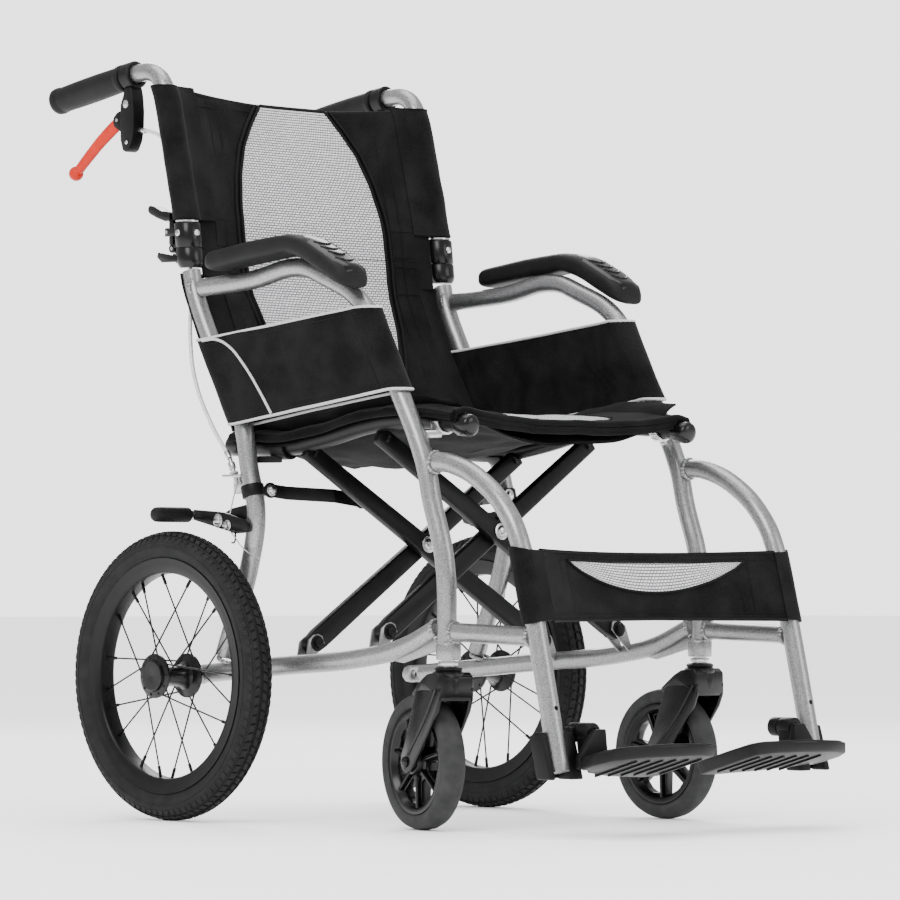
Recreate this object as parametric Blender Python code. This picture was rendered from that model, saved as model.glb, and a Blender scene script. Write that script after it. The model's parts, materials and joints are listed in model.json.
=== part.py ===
"""A folding transport wheelchair, one object for each piece that comes apart on a bench.

Metres, +Z up. The occupant faces -Y. right_* is the occupant's right, which is at -X.
Y in the tables below is measured from the rear axle, which at() moves to AXLE_Y.
"""

import math

import bmesh
import bpy
from mathutils import Matrix, Vector

# Overall layout
AXLE_Y = 0.1925  # puts the middle of the whole chair at Y 0
GAP = 0.0003  # clearance between pieces that touch
FRAME_X = 0.202  # middle plane of each side frame
TUBE_R = 0.011
SIDES = {"right": -1, "left": 1}

# Rear wheel
REAR_R = 0.168
REAR_X = 0.252
TYRE_HALF = 0.020
RIM_R = 0.136
RIM_INNER_R = 0.119
HUB_X = (0.2263, 0.2830)
SPOKES = 20
WHEEL_STEPS, CASTER_STEPS = 36, 28

# Caster
CASTER_R = 0.076
CASTER_X, CASTER_Y = 0.200, -0.416
TRAIL = 0.056
CASTER_REST = {"right": 13.0, "left": 1.0}  # degrees that each fork is turned about its stem

# Fold: the scissor's hinge lines lean by FOLD_TILT, parallel to one another
FOLD_TILT = math.radians(6.5)
BOLT_X = 0.176
FOLD_ORIGIN = (-0.167, 0.206)  # Y and Z of the rear lower bolts
PAIR_GAP = 0.1250  # from the rear pair of braces to the front pair, along the hinge line
BRACE_ANGLE = math.radians(33)
BRACE_THICK = 0.0120
BRACE_FACE = 0.0250
BRACE_LAYER = 0.0064  # each brace's middle, either side of its pair's middle
SEAT_TUBE_X = 0.173
SEAT_TUBE_R = 0.0105
LINK_LAYER = -0.0148

# Back hinge and brake
HINGE_Y, HINGE_Z = 0.0504, 0.6703
BRAKE_Y, BRAKE_Z = -0.047, 0.348
HANDLE_Y, HANDLE_Z = 0.1555, 0.8300

# Footplate hinge
FLIP_X, FLIP_Z = 0.160, 0.113

# Centre lines, each a list of (Y, Z)
REAR_POST = [(0.0256, 0.6425), (0.020, 0.621), (-0.010, 0.560), (-0.068, 0.460), (-0.080, 0.407),
             (-0.092, 0.360), (-0.085, 0.310), (-0.036, 0.192)]
ARM_TUBE = [(0.003, 0.6225), (-0.086, 0.627), (-0.173, 0.637), (-0.210, 0.6255), (-0.278, 0.589),
            (-0.338, 0.489), (-0.380, 0.4095), (-0.391, 0.368), (-0.412, 0.301), (-0.416, 0.204)]
LOWER_RAIL = [(0.060, 0.1652), (-0.1175, 0.179), (-0.300, 0.194), (-0.350, 0.2045), (-0.3995, 0.2240)]
ARCH = [(-0.3955, 0.4095), (-0.423, 0.407), (-0.478, 0.383), (-0.515, 0.349), (-0.5325, 0.319),
        (-0.555, 0.236), (-0.594, 0.071)]
STRETCHER = [(-0.4278, 0.2208), (-0.553, 0.2165)]
SEAT_TUBE = [(-0.020, 0.437), (-0.115, 0.433), (-0.173, 0.440), (-0.2575, 0.455), (-0.302, 0.459),
             (-0.368, 0.457), (-0.421, 0.450)]
CANE = [(0.0343, 0.7050), (0.0540, 0.785), (0.0700, 0.850), (0.0800, 0.871), (0.0960, 0.8825),
        (0.117, 0.8845), (0.1475, 0.881)]
GRIP = [(0.1480, 0.8810), (0.2800, 0.8620)]
CABLE = [(0.200, 0.1225, 0.817), (0.195, 0.100, 0.811), (0.187, 0.080, 0.795), (0.184, 0.067, 0.770),
         (0.184, 0.0545, 0.720), (0.184, 0.0515, 0.680), (0.184, 0.0490, 0.650), (0.188, 0.043, 0.615),
         (0.200, 0.0295, 0.563), (0.2075, 0.012, 0.515), (0.2105, -0.018, 0.466), (0.2105, -0.0548, 0.4205)]

# Arm pad: Y, underside Z, top Z, inner X, outer X
PAD_STATIONS = [(-0.035, 0.6385, 0.6565, 0.1990, 0.2380), (-0.040, 0.6375, 0.6610, 0.1955, 0.2415),
                (-0.120, 0.6450, 0.6700, 0.1955, 0.2415), (-0.180, 0.6500, 0.6740, 0.1955, 0.2415),
                (-0.215, 0.6400, 0.6670, 0.1955, 0.2430), (-0.255, 0.6195, 0.6480, 0.1955, 0.2440),
                (-0.280, 0.6080, 0.6330, 0.1965, 0.2430), (-0.290, 0.6025, 0.6220, 0.2010, 0.2390)]

COLOURS = {  # base colour, roughness, metallic
    "frame_paint": ((0.42, 0.42, 0.44), 0.38, 0.6),
    "black_paint": ((0.012, 0.012, 0.013), 0.35, 0.0),
    "steel": ((0.62, 0.62, 0.63), 0.25, 1.0),
    "black_plastic": ((0.015, 0.015, 0.016), 0.45, 0.0),
    "soft_black": ((0.016, 0.016, 0.017), 0.7, 0.0),
    "fabric": ((0.02, 0.02, 0.022), 0.95, 0.0),
    "tyre": ((0.045, 0.045, 0.047), 0.8, 0.0),
    "caster_rubber": ((0.07, 0.07, 0.073), 0.6, 0.0),
    "lever_red": ((0.85, 0.055, 0.014), 0.4, 0.0),
}


def at(side, x, y, z):
    return Vector((side * x, y + AXLE_Y, z))


def fold_point(side, x, along, up):
    """A point in the fold's own frame: along runs forwards on the hinge line, up is square to it."""
    y, z = FOLD_ORIGIN
    y += -along * math.cos(FOLD_TILT) + up * math.sin(FOLD_TILT)
    z += along * math.sin(FOLD_TILT) + up * math.cos(FOLD_TILT)
    return at(side, x, y, z)


def height_on(line, y):
    """Z of a centre line at this Y, by straight steps between its points."""
    for (y0, z0), (y1, z1) in zip(line, line[1:]):
        if min(y0, y1) <= y <= max(y0, y1):
            return z0 + (z1 - z0) * (y - y0) / (y1 - y0)
    return line[0][1] if abs(y - line[0][0]) < abs(y - line[-1][0]) else line[-1][1]


def depth_on(line, z):
    """Y of a centre line at this height."""
    return height_on([(b, a) for a, b in line], z)


# Solids, each a bmesh in world space


def finish(solid):
    bmesh.ops.remove_doubles(solid, verts=solid.verts, dist=1e-6)
    bmesh.ops.recalc_face_normals(solid, faces=solid.faces)
    return solid


def loft(rings):
    """A closed solid through rings of equal length, capped at both ends."""
    solid = bmesh.new()
    rows = [[solid.verts.new(point) for point in ring] for ring in rings]
    for low, high in zip(rows, rows[1:]):
        for i in range(len(low)):
            j = (i + 1) % len(low)
            solid.faces.new((low[i], low[j], high[j], high[i]))
    solid.faces.new(rows[0][::-1])
    solid.faces.new(rows[-1])
    return finish(solid)


def ring_about(centre, axis, radius, sides=12):
    """Points on a circle square to axis."""
    axis = Vector(axis).normalized()
    start = Vector((1, 0, 0)) if abs(axis.x) < 0.9 else Vector((0, 0, 1))
    first = (start - start.dot(axis) * axis).normalized()
    second = axis.cross(first)
    angles = [2 * math.pi * (i + 0.5) / sides for i in range(sides)]
    return [centre + radius * (math.cos(a) * first + math.sin(a) * second) for a in angles]


def rod(start, end, radius, sides=12):
    return loft([ring_about(point, end - start, radius, sides) for point in (start, end)])


def facet_radius(radius, steps):
    """The corner radius that lets a wheel's flat facets touch its true circle."""
    return radius / math.cos(math.pi / steps)


def lathe(profile, start, axis, steps=32):
    """Turns a closed profile of (radius, distance along axis) about the line from start."""
    axis = Vector(axis).normalized()
    start = Vector(start)
    side = Vector((0, 0, -1)) if abs(axis.z) < 0.9 else Vector((1, 0, 0))
    solid = bmesh.new()
    verts = [solid.verts.new(start + axis * h + side * r) for r, h in profile]
    edges = [solid.edges.new((a, b)) for a, b in zip(verts, verts[1:] + verts[:1])]
    half_step = Matrix.Rotation(math.pi / steps, 3, axis)
    bmesh.ops.rotate(solid, verts=verts, cent=start, matrix=half_step)
    bmesh.ops.spin(solid, geom=verts + edges, cent=start, axis=axis, angle=2 * math.pi,
                   steps=steps, use_merge=True)
    bmesh.ops.dissolve_degenerate(solid, dist=1e-7, edges=solid.edges)
    return finish(solid)


def slab(side, outline, x_from, x_to):
    """An outline of (Y, Z) given a thickness along X."""
    return loft([[at(side, x, y, z) for y, z in outline] for x in (x_from, x_to)])


def box(side, x, y, z):
    return slab(side, [(y[0], z[0]), (y[1], z[0]), (y[1], z[1]), (y[0], z[1])], *x)


def tube(points, radius, steps=2, bevel=3):
    """A round tube with capped ends whose centre line runs smoothly through points."""
    curve = bpy.data.curves.new("centre_line", "CURVE")
    curve.dimensions = "3D"
    curve.bevel_depth = radius
    curve.bevel_resolution = bevel
    curve.resolution_u = steps
    curve.use_fill_caps = True
    spline = curve.splines.new("BEZIER")
    spline.bezier_points.add(len(points) - 1)
    for knot, point in zip(spline.bezier_points, points):
        knot.co = point
        knot.handle_left_type = knot.handle_right_type = "AUTO"
    holder = bpy.data.objects.new("centre_line", curve)
    mesh = bpy.data.meshes.new_from_object(holder)
    solid = bmesh.new()
    solid.from_mesh(mesh)
    bpy.data.objects.remove(holder)
    bpy.data.meshes.remove(mesh)
    bpy.data.curves.remove(curve)
    return finish(solid)


def frame_tube(side, line, radius=TUBE_R, x=FRAME_X):
    return tube([at(side, x, y, z) for y, z in line], radius)


def joined(solids):
    """Separate solids in one mesh, for one Boolean step."""
    whole = bmesh.new()
    for solid in solids:
        mesh = bpy.data.meshes.new("piece")
        solid.to_mesh(mesh)
        solid.free()
        whole.from_mesh(mesh)
        bpy.data.meshes.remove(mesh)
    return whole


# Objects


def material(name):
    found = bpy.data.materials.get(name)
    if found:
        return found
    colour, roughness, metallic = COLOURS[name]
    made = bpy.data.materials.new(name)
    made.use_nodes = True
    shader = made.node_tree.nodes["Principled BSDF"]
    shader.inputs["Base Color"].default_value = (*colour, 1)
    shader.inputs["Roughness"].default_value = roughness
    shader.inputs["Metallic"].default_value = metallic
    made.diffuse_color = (*colour, 1)
    return made


def place(name, solid, origin):
    mesh = bpy.data.meshes.new(name)
    bmesh.ops.translate(solid, verts=solid.verts, vec=-origin)
    solid.to_mesh(mesh)
    solid.free()
    obj = bpy.data.objects.new(name, mesh)
    obj.location = origin
    bpy.context.scene.collection.objects.link(obj)
    return obj


def make(name, surface, solid, add=(), cut=(), origin=None):
    """A node: its first solid, with others united with it or cut from it."""
    origin = Vector((0, 0, 0)) if origin is None else origin
    node = place(name, solid, origin)
    node.data.materials.append(material(surface))
    node.data.shade_smooth()
    for operation, solids in (("UNION", add), ("DIFFERENCE", cut)):
        for i, other in enumerate(solids):
            helper = place(f"{name}_{operation.lower()}_{i}", other, origin)
            helper.hide_render = True
            helper.display_type = "WIRE"
            step = node.modifiers.new(helper.name, "BOOLEAN")
            step.operation = operation
            step.solver = "EXACT"
            step.object = helper
    return node


# Side frames


def fold_rod(side, x, along, up, radius, sides=10):
    start, end = (fold_point(side, x, s, up) for s in along)
    return rod(start, end, radius, sides)


def clevis(side, pair, layer):
    """Two ears on the rail's inner face, and the bolt that a brace's lower end turns on."""
    middle = pair * PAIR_GAP + layer
    ears = []
    for way in (-1, 1):
        near = middle + way * (BRACE_THICK / 2 + 0.0006)
        far = near + way * 0.0025
        outline = [(FRAME_X - 0.004, -0.030), (BOLT_X + 0.012, 0.004), (BOLT_X + 0.004, 0.0095),
                   (BOLT_X - 0.008, 0.0095), (BOLT_X - 0.011, 0.000), (FRAME_X - 0.014, -0.024)]
        ears.append(loft([[fold_point(side, x, s, up) for x, up in outline] for s in (near, far)]))
    reach = BRACE_THICK / 2 + 0.0060
    bolt = fold_rod(side, BOLT_X, (middle - reach, middle + reach), 0.0, 0.0040, 8)
    return ears + [bolt]


def lower_rail(name, side):
    layer = -BRACE_LAYER if side < 0 else BRACE_LAYER
    tab = slab(side, [(0.050, 0.1545), (0.090, 0.1520), (0.096, 0.1580), (0.096, 0.1680),
                      (0.090, 0.1745), (0.050, 0.1770)], FRAME_X - 0.004, FRAME_X + 0.004)
    axle = rod(at(side, FRAME_X + 0.003, 0, REAR_R), at(side, HUB_X[1] - 0.010, 0, REAR_R), 0.0060)
    boss = rod(at(side, FRAME_X + 0.002, 0, REAR_R), at(side, HUB_X[0] - GAP, 0, REAR_R), 0.0105)
    hole = rod(at(side, FRAME_X - 0.02, 0.0745, 0.1635), at(side, FRAME_X + 0.02, 0.0745, 0.1635), 0.0050)
    clevises = clevis(side, 0, layer) + clevis(side, 1, layer)
    make(name, "frame_paint", frame_tube(side, LOWER_RAIL), [tab, boss, axle] + clevises, [hole])


def rear_post(name, side):
    plate = slab(side, [(-0.094, 0.337), (-0.052, 0.336), (-0.038, 0.341), (-0.038, 0.355),
                        (-0.052, 0.361), (-0.090, 0.366)], FRAME_X + 0.0020, FRAME_X + 0.0060)
    boss = rod(at(side, 0.207, BRAKE_Y, BRAKE_Z), at(side, 0.2152, BRAKE_Y, BRAKE_Z), 0.0085)
    pin = rod(at(side, 0.214, BRAKE_Y, BRAKE_Z), at(side, 0.2245, BRAKE_Y, BRAKE_Z), 0.0045)
    shelf = box(side, (0.2040, 0.2160), (-0.0790, -0.0570), (0.3985, 0.4020))
    adjuster = rod(at(side, 0.2105, -0.0680, 0.3930), at(side, 0.2105, -0.0560, 0.4185), 0.0032, 8)
    collar_y = depth_on(REAR_POST, 0.382)
    collar = rod(at(side, FRAME_X, collar_y + 0.0018, 0.389), at(side, FRAME_X, collar_y - 0.0018, 0.375),
                 0.0135)
    link_boss = rod(fold_point(side, 0.190, -0.062, 0.1829), fold_point(side, 0.190, -0.0465, 0.1829), 0.0062)
    link_pin = rod(fold_point(side, 0.190, -0.050, 0.1829), fold_point(side, 0.190, -0.0400, 0.1829), 0.0035, 8)
    make(name, "frame_paint", frame_tube(side, REAR_POST),
         [plate, boss, pin, shelf, adjuster, collar, link_boss, link_pin])


def arm_tube(name, side):
    collar = rod(at(side, CASTER_X, CASTER_Y, 0.2085), at(side, CASTER_X, CASTER_Y, 0.1900), 0.0138)
    make(name, "frame_paint", frame_tube(side, ARM_TUBE), [collar])


def leg_frame(name, side):
    hole = rod(at(side, FRAME_X, -0.600, 0.140), at(side, FRAME_X, -0.578, 0.140), 0.0028, 8)
    make(name, "frame_paint", frame_tube(side, ARCH), [frame_tube(side, STRETCHER)], [hole])


def arm_pad(name, side):
    """The pad lies on the arm tube and overhangs it outwards."""
    rings = []
    edge = 0.005
    for y, base, top, inner, outer in PAD_STATIONS:
        section = [(inner, base), (outer - 0.004, base), (outer, base + edge), (outer, top - edge),
                   (outer - edge, top), (inner + edge, top), (inner, top - edge)]
        rings.append([at(side, x, y, z) for x, z in section])
    make(name, "soft_black", loft(rings))


def side_panel(name, side):
    """Fabric stretched between the rear post and the front post."""
    outline = []
    for y, z in ((0, 0.460), (0, 0.558)):
        outline.append((depth_on(REAR_POST, z) - TUBE_R * 1.35, z))
    for z in (0.572, 0.492):
        outline.append((depth_on(ARM_TUBE[4:], z) + TUBE_R * 1.45, z))
    make(name, "fabric", slab(side, outline, FRAME_X - 0.0025, FRAME_X + 0.0025))


# Back


def sleeve_rings(side, heights, radii):
    rings = []
    for z, r in zip(heights, radii):
        y = 0.0265 + (z - 0.646) * 0.12
        centre = at(side, FRAME_X, y, z)
        rings.append(ring_about(centre, (0, 0, 1), r, 14))
    return rings


def hinge_lower(name, side):
    body = loft(sleeve_rings(side, (0.6466, 0.6530, 0.6700), (0.0125, 0.0155, 0.0155)))
    knuckle = rod(at(side, FRAME_X - 0.0045, HINGE_Y, HINGE_Z), at(side, FRAME_X + 0.0045, HINGE_Y, HINGE_Z),
                  0.0050)
    tab = box(side, (FRAME_X - 0.0045, FRAME_X + 0.0045), (0.036, HINGE_Y), (0.6650, 0.6700))
    bore = rod(at(side, FRAME_X - 0.01, HINGE_Y, HINGE_Z), at(side, FRAME_X + 0.01, HINGE_Y, HINGE_Z), 0.0028, 8)
    catch = [(0.034, 0.6535), (0.034, 0.6600), (0.0725, 0.6670), (0.0745, 0.6610), (0.0660, 0.6545)]
    prongs = [slab(side, catch, FRAME_X + a, FRAME_X + b) for a, b in ((-0.0126, -0.0104), (0.0104, 0.0126))]
    make(name, "black_plastic", body, [tab, knuckle] + prongs, [bore])


def hinge_upper(name, side, pivot):
    body = loft(sleeve_rings(side, (0.6706, 0.7005), (0.0155, 0.0155)))
    parts = []
    for low, high in ((-0.0100, -0.0050), (0.0050, 0.0100)):
        x = (FRAME_X + low, FRAME_X + high)
        parts.append(rod(at(side, x[0], HINGE_Y, HINGE_Z), at(side, x[1], HINGE_Y, HINGE_Z), 0.0050))
        parts.append(box(side, x, (0.038, HINGE_Y), (0.6706, 0.6753)))
    for low, high in ((-0.0100, -0.0078), (0.0078, 0.0100)):
        parts.append(box(side, (FRAME_X + low, FRAME_X + high), (0.036, 0.0630), (0.6850, 0.6950)))
    pins = [rod(at(side, FRAME_X - 0.0095, y, z), at(side, FRAME_X + 0.0095, y, z), 0.0024, 8)
            for y, z in ((HINGE_Y, HINGE_Z), (0.0600, 0.6900))]
    make(name, "black_plastic", body, parts + pins, origin=pivot)


def release_lever(name, side):
    stem = slab(side, [(0.0565, 0.6735), (0.0635, 0.6760), (0.0635, 0.7050), (0.0565, 0.7050)],
                FRAME_X - 0.0035, FRAME_X + 0.0035)
    thumb = slab(side, [(0.0565, 0.7035), (0.0635, 0.7030), (0.0925, 0.7135), (0.0965, 0.7185),
                        (0.0935, 0.7240), (0.0610, 0.7150), (0.0565, 0.7120)],
                 FRAME_X - 0.0085, FRAME_X + 0.0085)
    bore = rod(at(side, FRAME_X - 0.01, 0.0600, 0.6900), at(side, FRAME_X + 0.01, 0.0600, 0.6900), 0.0027, 8)
    make(name, "black_plastic", stem, [thumb], [bore], origin=at(side, FRAME_X, 0.0600, 0.6900))


def cane(name, side, pivot):
    make(name, "frame_paint", frame_tube(side, CANE), origin=pivot)


def grip(name, side, pivot):
    start, end = (at(side, FRAME_X, y, z) for y, z in GRIP)
    axis = end - start
    length = axis.length
    shape = [(0.0, 0.0165), (0.008, 0.0165), (0.010, 0.0148), (0.5 * length, 0.0156), (0.94 * length, 0.0158),
             (length, 0.0110)]
    rings = [ring_about(start + axis.normalized() * h, axis, r, 14) for h, r in shape]
    make(name, "soft_black", loft(rings), origin=pivot)


def brake_housing(name, side, pivot):
    y, z = 0.1355, height_on(CANE, 0.1355)
    way = (at(side, 0, *CANE[-1]) - at(side, 0, *CANE[-2])).normalized()
    centre = at(side, FRAME_X, y, z)
    clamp = rod(centre - way * 0.0085, centre + way * 0.0085, 0.0165, 14)
    body = slab(side, [(0.1285, 0.8720), (0.1410, 0.8720), (0.1425, 0.8600), (0.1480, 0.8480), (0.1480, 0.8050),
                       (0.1430, 0.7910), (0.1330, 0.7935), (0.1255, 0.8080), (0.1235, 0.8400)],
                FRAME_X - 0.0090, FRAME_X + 0.0090)
    cheeks = [slab(side, [(0.1460, 0.8420), (0.1560, 0.8385), (0.1625, 0.8320), (0.1610, 0.8230),
                          (0.1460, 0.8140)], FRAME_X + a, FRAME_X + b)
              for a, b in ((-0.0080, -0.0041), (0.0041, 0.0080))]
    pin = rod(at(side, FRAME_X - 0.0075, HANDLE_Y, HANDLE_Z), at(side, FRAME_X + 0.0075, HANDLE_Y, HANDLE_Z),
              0.0020, 8)
    bore = rod(centre - way * 0.03, centre + way * 0.0098, TUBE_R + 0.0013, 14)
    make(name, "black_plastic", body, [clamp, pin] + cheeks, [bore], origin=pivot)


def brake_lever(name, side):
    blade = slab(side, [(0.1510, 0.8330), (0.1575, 0.8362), (0.1750, 0.8290), (0.2430, 0.7790),
                        (0.2405, 0.7670), (0.1690, 0.8150), (0.1535, 0.8240)],
                 FRAME_X - 0.0037, FRAME_X + 0.0037)
    tip = at(side, FRAME_X, 0.2440, 0.7725)
    heights = [-0.0080, -0.0060, 0.0, 0.0060, 0.0080]
    ball = loft([ring_about(tip + Vector((h, 0, 0)), (1, 0, 0), math.sqrt(0.0086**2 - h * h), 10)
                 for h in heights])
    bore = rod(at(side, FRAME_X - 0.01, HANDLE_Y, HANDLE_Z), at(side, FRAME_X + 0.01, HANDLE_Y, HANDLE_Z),
               0.0024, 8)
    make(name, "lever_red", blade, [ball], [bore], origin=at(side, FRAME_X, HANDLE_Y, HANDLE_Z))


def brake_cable(name, side):
    make(name, "black_plastic", tube([at(side, *point) for point in CABLE], 0.0023, 2, 1))


def back_sleeve(name, side, pivot):
    """The fabric pocket round the cane, with the flat strip that runs to the centre panel."""
    heights = (0.7095, 0.785, 0.850, 0.8640)
    outer = frame_tube(side, [(depth_on(CANE[:5], z), z) for z in heights], 0.0155)
    bore = frame_tube(side, CANE[:5], 0.0127)
    strip = loft([[at(side, x, depth_on(CANE[:5], z) + t, z) for x, t in
                   ((0.160, -0.0015), (0.1885, -0.0015), (0.1885, 0.0015), (0.160, 0.0015))]
                  for z in heights[:3]])
    make(name, "fabric", outer, [strip], [bore], origin=pivot)


def sagging_sheet(half_width, rows, thickness, sag):
    """A sheet across the chair: rows are (Y, Z) at its edges, and its middle lies back by sag."""
    stations = [-1.0, -0.5, 0.0, 0.5, 1.0]
    rings = []
    for share in stations:
        back = sag * (1 - share * share)
        front_side = [at(1, share * half_width, y + back - thickness / 2, z) for y, z in rows]
        rear_side = [at(1, share * half_width, y + back + thickness / 2, z) for y, z in reversed(rows)]
        rings.append(front_side + rear_side)
    return loft(rings)


def back_panels(pivot):
    rows = [(depth_on(CANE[:5], z), z) for z in (0.7085, 0.785, 0.850, 0.860)]
    rows = [(0.0295, 0.6716)] + rows
    make("back_panel_upper", "fabric", sagging_sheet(0.1595, rows, 0.0040, 0.010), origin=pivot)
    rows = [(depth_on(REAR_POST, z), z) for z in (0.470, 0.520, 0.580, 0.621)] + [(0.0295, 0.6690)]
    make("back_panel_lower", "fabric", sagging_sheet(0.1595, rows, 0.0040, 0.010))


def calf_strap():
    rows = [(depth_on(ARCH, z), z) for z in (0.234, 0.272, 0.311)]
    make("calf_strap", "fabric", sagging_sheet(FRAME_X - TUBE_R - 0.002, rows, 0.0040, 0.018))


# Brakes


def brake_arm(name, side):
    pivot = at(side, 0.219, BRAKE_Y, BRAKE_Z)
    arm = slab(side, [(-0.0960, 0.3350), (-0.0980, 0.3410), (-0.0945, 0.3480), (-0.0470, 0.3570),
                      (0.0, 0.3625), (0.0060, 0.3550), (0.0, 0.3480), (-0.0470, 0.3390)], 0.2160, 0.2215)
    shoe = rod(at(side, 0.2180, 0.0, 0.3552), at(side, 0.2800, 0.0, 0.3552), 0.0088)
    bore = rod(at(side, 0.20, BRAKE_Y, BRAKE_Z), at(side, 0.24, BRAKE_Y, BRAKE_Z), 0.0049)
    make(name, "black_paint", arm, [shoe], [bore], origin=pivot)


# Wheels


def rear_wheel(prefix, side):
    axis = Vector((side, 0, 0))
    middle = at(side, REAR_X, 0, REAR_R)
    origin = middle.copy()
    tyre = [(RIM_R + GAP, -0.0125), (0.1500, -TYRE_HALF), (0.1620, -0.0160),
            (facet_radius(REAR_R, WHEEL_STEPS), -0.0055)]
    tyre = tyre + [(r, -h) for r, h in reversed(tyre)]
    make(f"{prefix}_rear_tyre", "tyre", lathe(tyre, middle, axis, WHEEL_STEPS), origin=origin)
    rim = [(RIM_INNER_R, -0.0080), (0.1210, -0.0130), (RIM_R, -0.0145)]
    rim = rim + [(r, -h) for r, h in reversed(rim)]
    make(f"{prefix}_rear_rim", "black_paint", lathe(rim, middle, axis, WHEEL_STEPS), origin=origin)
    start = at(side, HUB_X[0], 0, REAR_R)
    length = HUB_X[1] - HUB_X[0]
    bore = 0.0064
    hub = [(bore, 0.0), (0.0255, 0.0), (0.0255, 0.0035), (0.0150, 0.0080), (0.0115, length / 2),
           (0.0150, length - 0.0120), (0.0255, length - 0.0075), (0.0255, length - 0.0040),
           (0.0200, length), (0.0, length), (0.0, length - 0.0090), (bore, length - 0.0090)]
    spokes = []
    for i in range(SPOKES):
        outer_flange = i % 2
        turn = 2 * math.pi * (i + 0.25) / SPOKES
        lean = math.radians(38 if outer_flange else -38)
        x = length - 0.0060 if outer_flange else 0.0018
        foot = start + axis * x + turned(side, turn, 0.0215)
        head = start + axis * (REAR_X - HUB_X[0]) + turned(side, turn + lean, RIM_INNER_R - 0.0022)
        spokes.append(rod(foot, head, 0.0011, 4))
    make(f"{prefix}_hub_spokes", "black_paint", lathe(hub, start, axis, 14), [joined(spokes)], origin=origin)


def turned(side, angle, radius):
    """An offset of radius in the wheel's plane."""
    return Vector((0, radius * math.sin(angle), radius * math.cos(angle)))


def caster(prefix, side):
    """Fork, wheel and tyre, modelled straight ahead and then turned about the stem."""
    stem_x, stem_y = CASTER_X, CASTER_Y
    axle_y = stem_y + TRAIL
    swing = Matrix.Rotation(-math.radians(CASTER_REST[prefix]), 4, "Z")

    def here(x, y, z):
        return Vector((side * CASTER_X + x, y + AXLE_Y, z))

    crown = loft([ring_about(here(0, stem_y, z), (0, 0, 1), r, 14)
                  for z, r in ((0.1500, 0.0172), (0.1760, 0.0168), (0.1800, 0.0150))])
    bridge = loft([[here(x, stem_y + y, z) for y, z in
                    ((-0.0150, 0.1580), (0.0, 0.1545), (0.0440, 0.1545), (0.0400, 0.1640), (0.0100, 0.1770),
                     (-0.0120, 0.1770))] for x in (-0.0225, 0.0225)])
    leg_outline = [(-0.0165, 0.1600), (-0.0120, 0.1350), (0.0080, 0.1080), (0.0430, 0.0700), (0.0560, 0.0640),
                   (0.0680, 0.0720), (0.0670, 0.0840), (0.0500, 0.1250), (0.0440, 0.1600)]
    legs = [loft([[here(x, stem_y + y, z) for y, z in leg_outline] for x in pair])
            for pair in ((-0.0225, -0.0178), (0.0178, 0.0225))]
    stem = rod(here(0, stem_y, 0.170), here(0, stem_y, 0.1900 - GAP), 0.0080)
    axle = rod(here(-0.0255, axle_y, CASTER_R), here(0.0255, axle_y, CASTER_R), 0.0036, 8)
    origin = here(0, stem_y, 0.1900)
    fork = make(f"{prefix}_caster_fork", "black_plastic", crown, [bridge] + legs + [stem, axle], origin=origin)
    middle = here(0, axle_y, CASTER_R)
    axis = Vector((1, 0, 0))
    core = [(0.0040, -0.0160), (0.0130, -0.0160), (0.0150, -0.0050), (0.0500, -0.0045), (0.0525, -0.0115),
            (0.0590, -0.0115)]
    core = core + [(r, -h) for r, h in reversed(core)]
    windows = []
    for i in range(7):
        angle = 2 * math.pi * i / 7
        corners = [(0.0220, -0.16), (0.0470, -0.30), (0.0470, 0.30), (0.0220, 0.16)]
        ends = [[middle + Vector((x, 0, 0)) + turned(1, angle + a, r) for r, a in corners] for x in (-0.02, 0.02)]
        windows.append(loft(ends))
    wheel = make(f"{prefix}_caster_wheel", "black_plastic", lathe(core, middle, axis, CASTER_STEPS), (),
                 [joined(windows)], origin=middle)
    rubber = [(0.0593, -0.0112), (0.0660, -0.0135), (0.0720, -0.0120),
              (facet_radius(CASTER_R, CASTER_STEPS), -0.0050)]
    rubber = rubber + [(r, -h) for r, h in reversed(rubber)]
    tyre = make(f"{prefix}_caster_tyre", "caster_rubber", lathe(rubber, middle, axis, CASTER_STEPS), origin=middle)
    about_stem = Matrix.Translation(origin) @ swing @ Matrix.Translation(-origin)
    for obj in (fork, wheel, tyre):
        turn_with_helpers(obj, about_stem)


def turn_with_helpers(obj, matrix):
    for each in [obj] + [step.object for step in obj.modifiers]:
        each.matrix_world = matrix @ Matrix.Translation(each.location)


# Fold


def brace_bar(carried, pair):
    """A straight bar from its clevis bolt, past the centre bolt, to the seat tube it carries.

    carried is the side of its seat tube; its clevis is on the other side.
    """
    layer = pair * PAIR_GAP + (-BRACE_LAYER if carried > 0 else BRACE_LAYER)
    along = Vector((math.cos(BRACE_ANGLE), math.sin(BRACE_ANGLE)))
    across = Vector((-along.y, along.x))
    foot = Vector((-BOLT_X, 0.0))
    length = (BOLT_X + SEAT_TUBE_X) / math.cos(BRACE_ANGLE)
    half = BRACE_FACE / 2
    outline = [foot + along * a + across * b for a, b in
               ((-0.0105, -0.0050), (-0.0060, -0.0105), (0.012, -half), (length, -half),
                (length, half * 0.6), (0.012, half), (-0.0060, 0.0105), (-0.0105, 0.0050))]
    low, high = layer - BRACE_THICK / 2, layer + BRACE_THICK / 2
    return loft([[fold_point(carried, p.x, s, p.y) for p in outline] for s in (low, high)])


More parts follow.
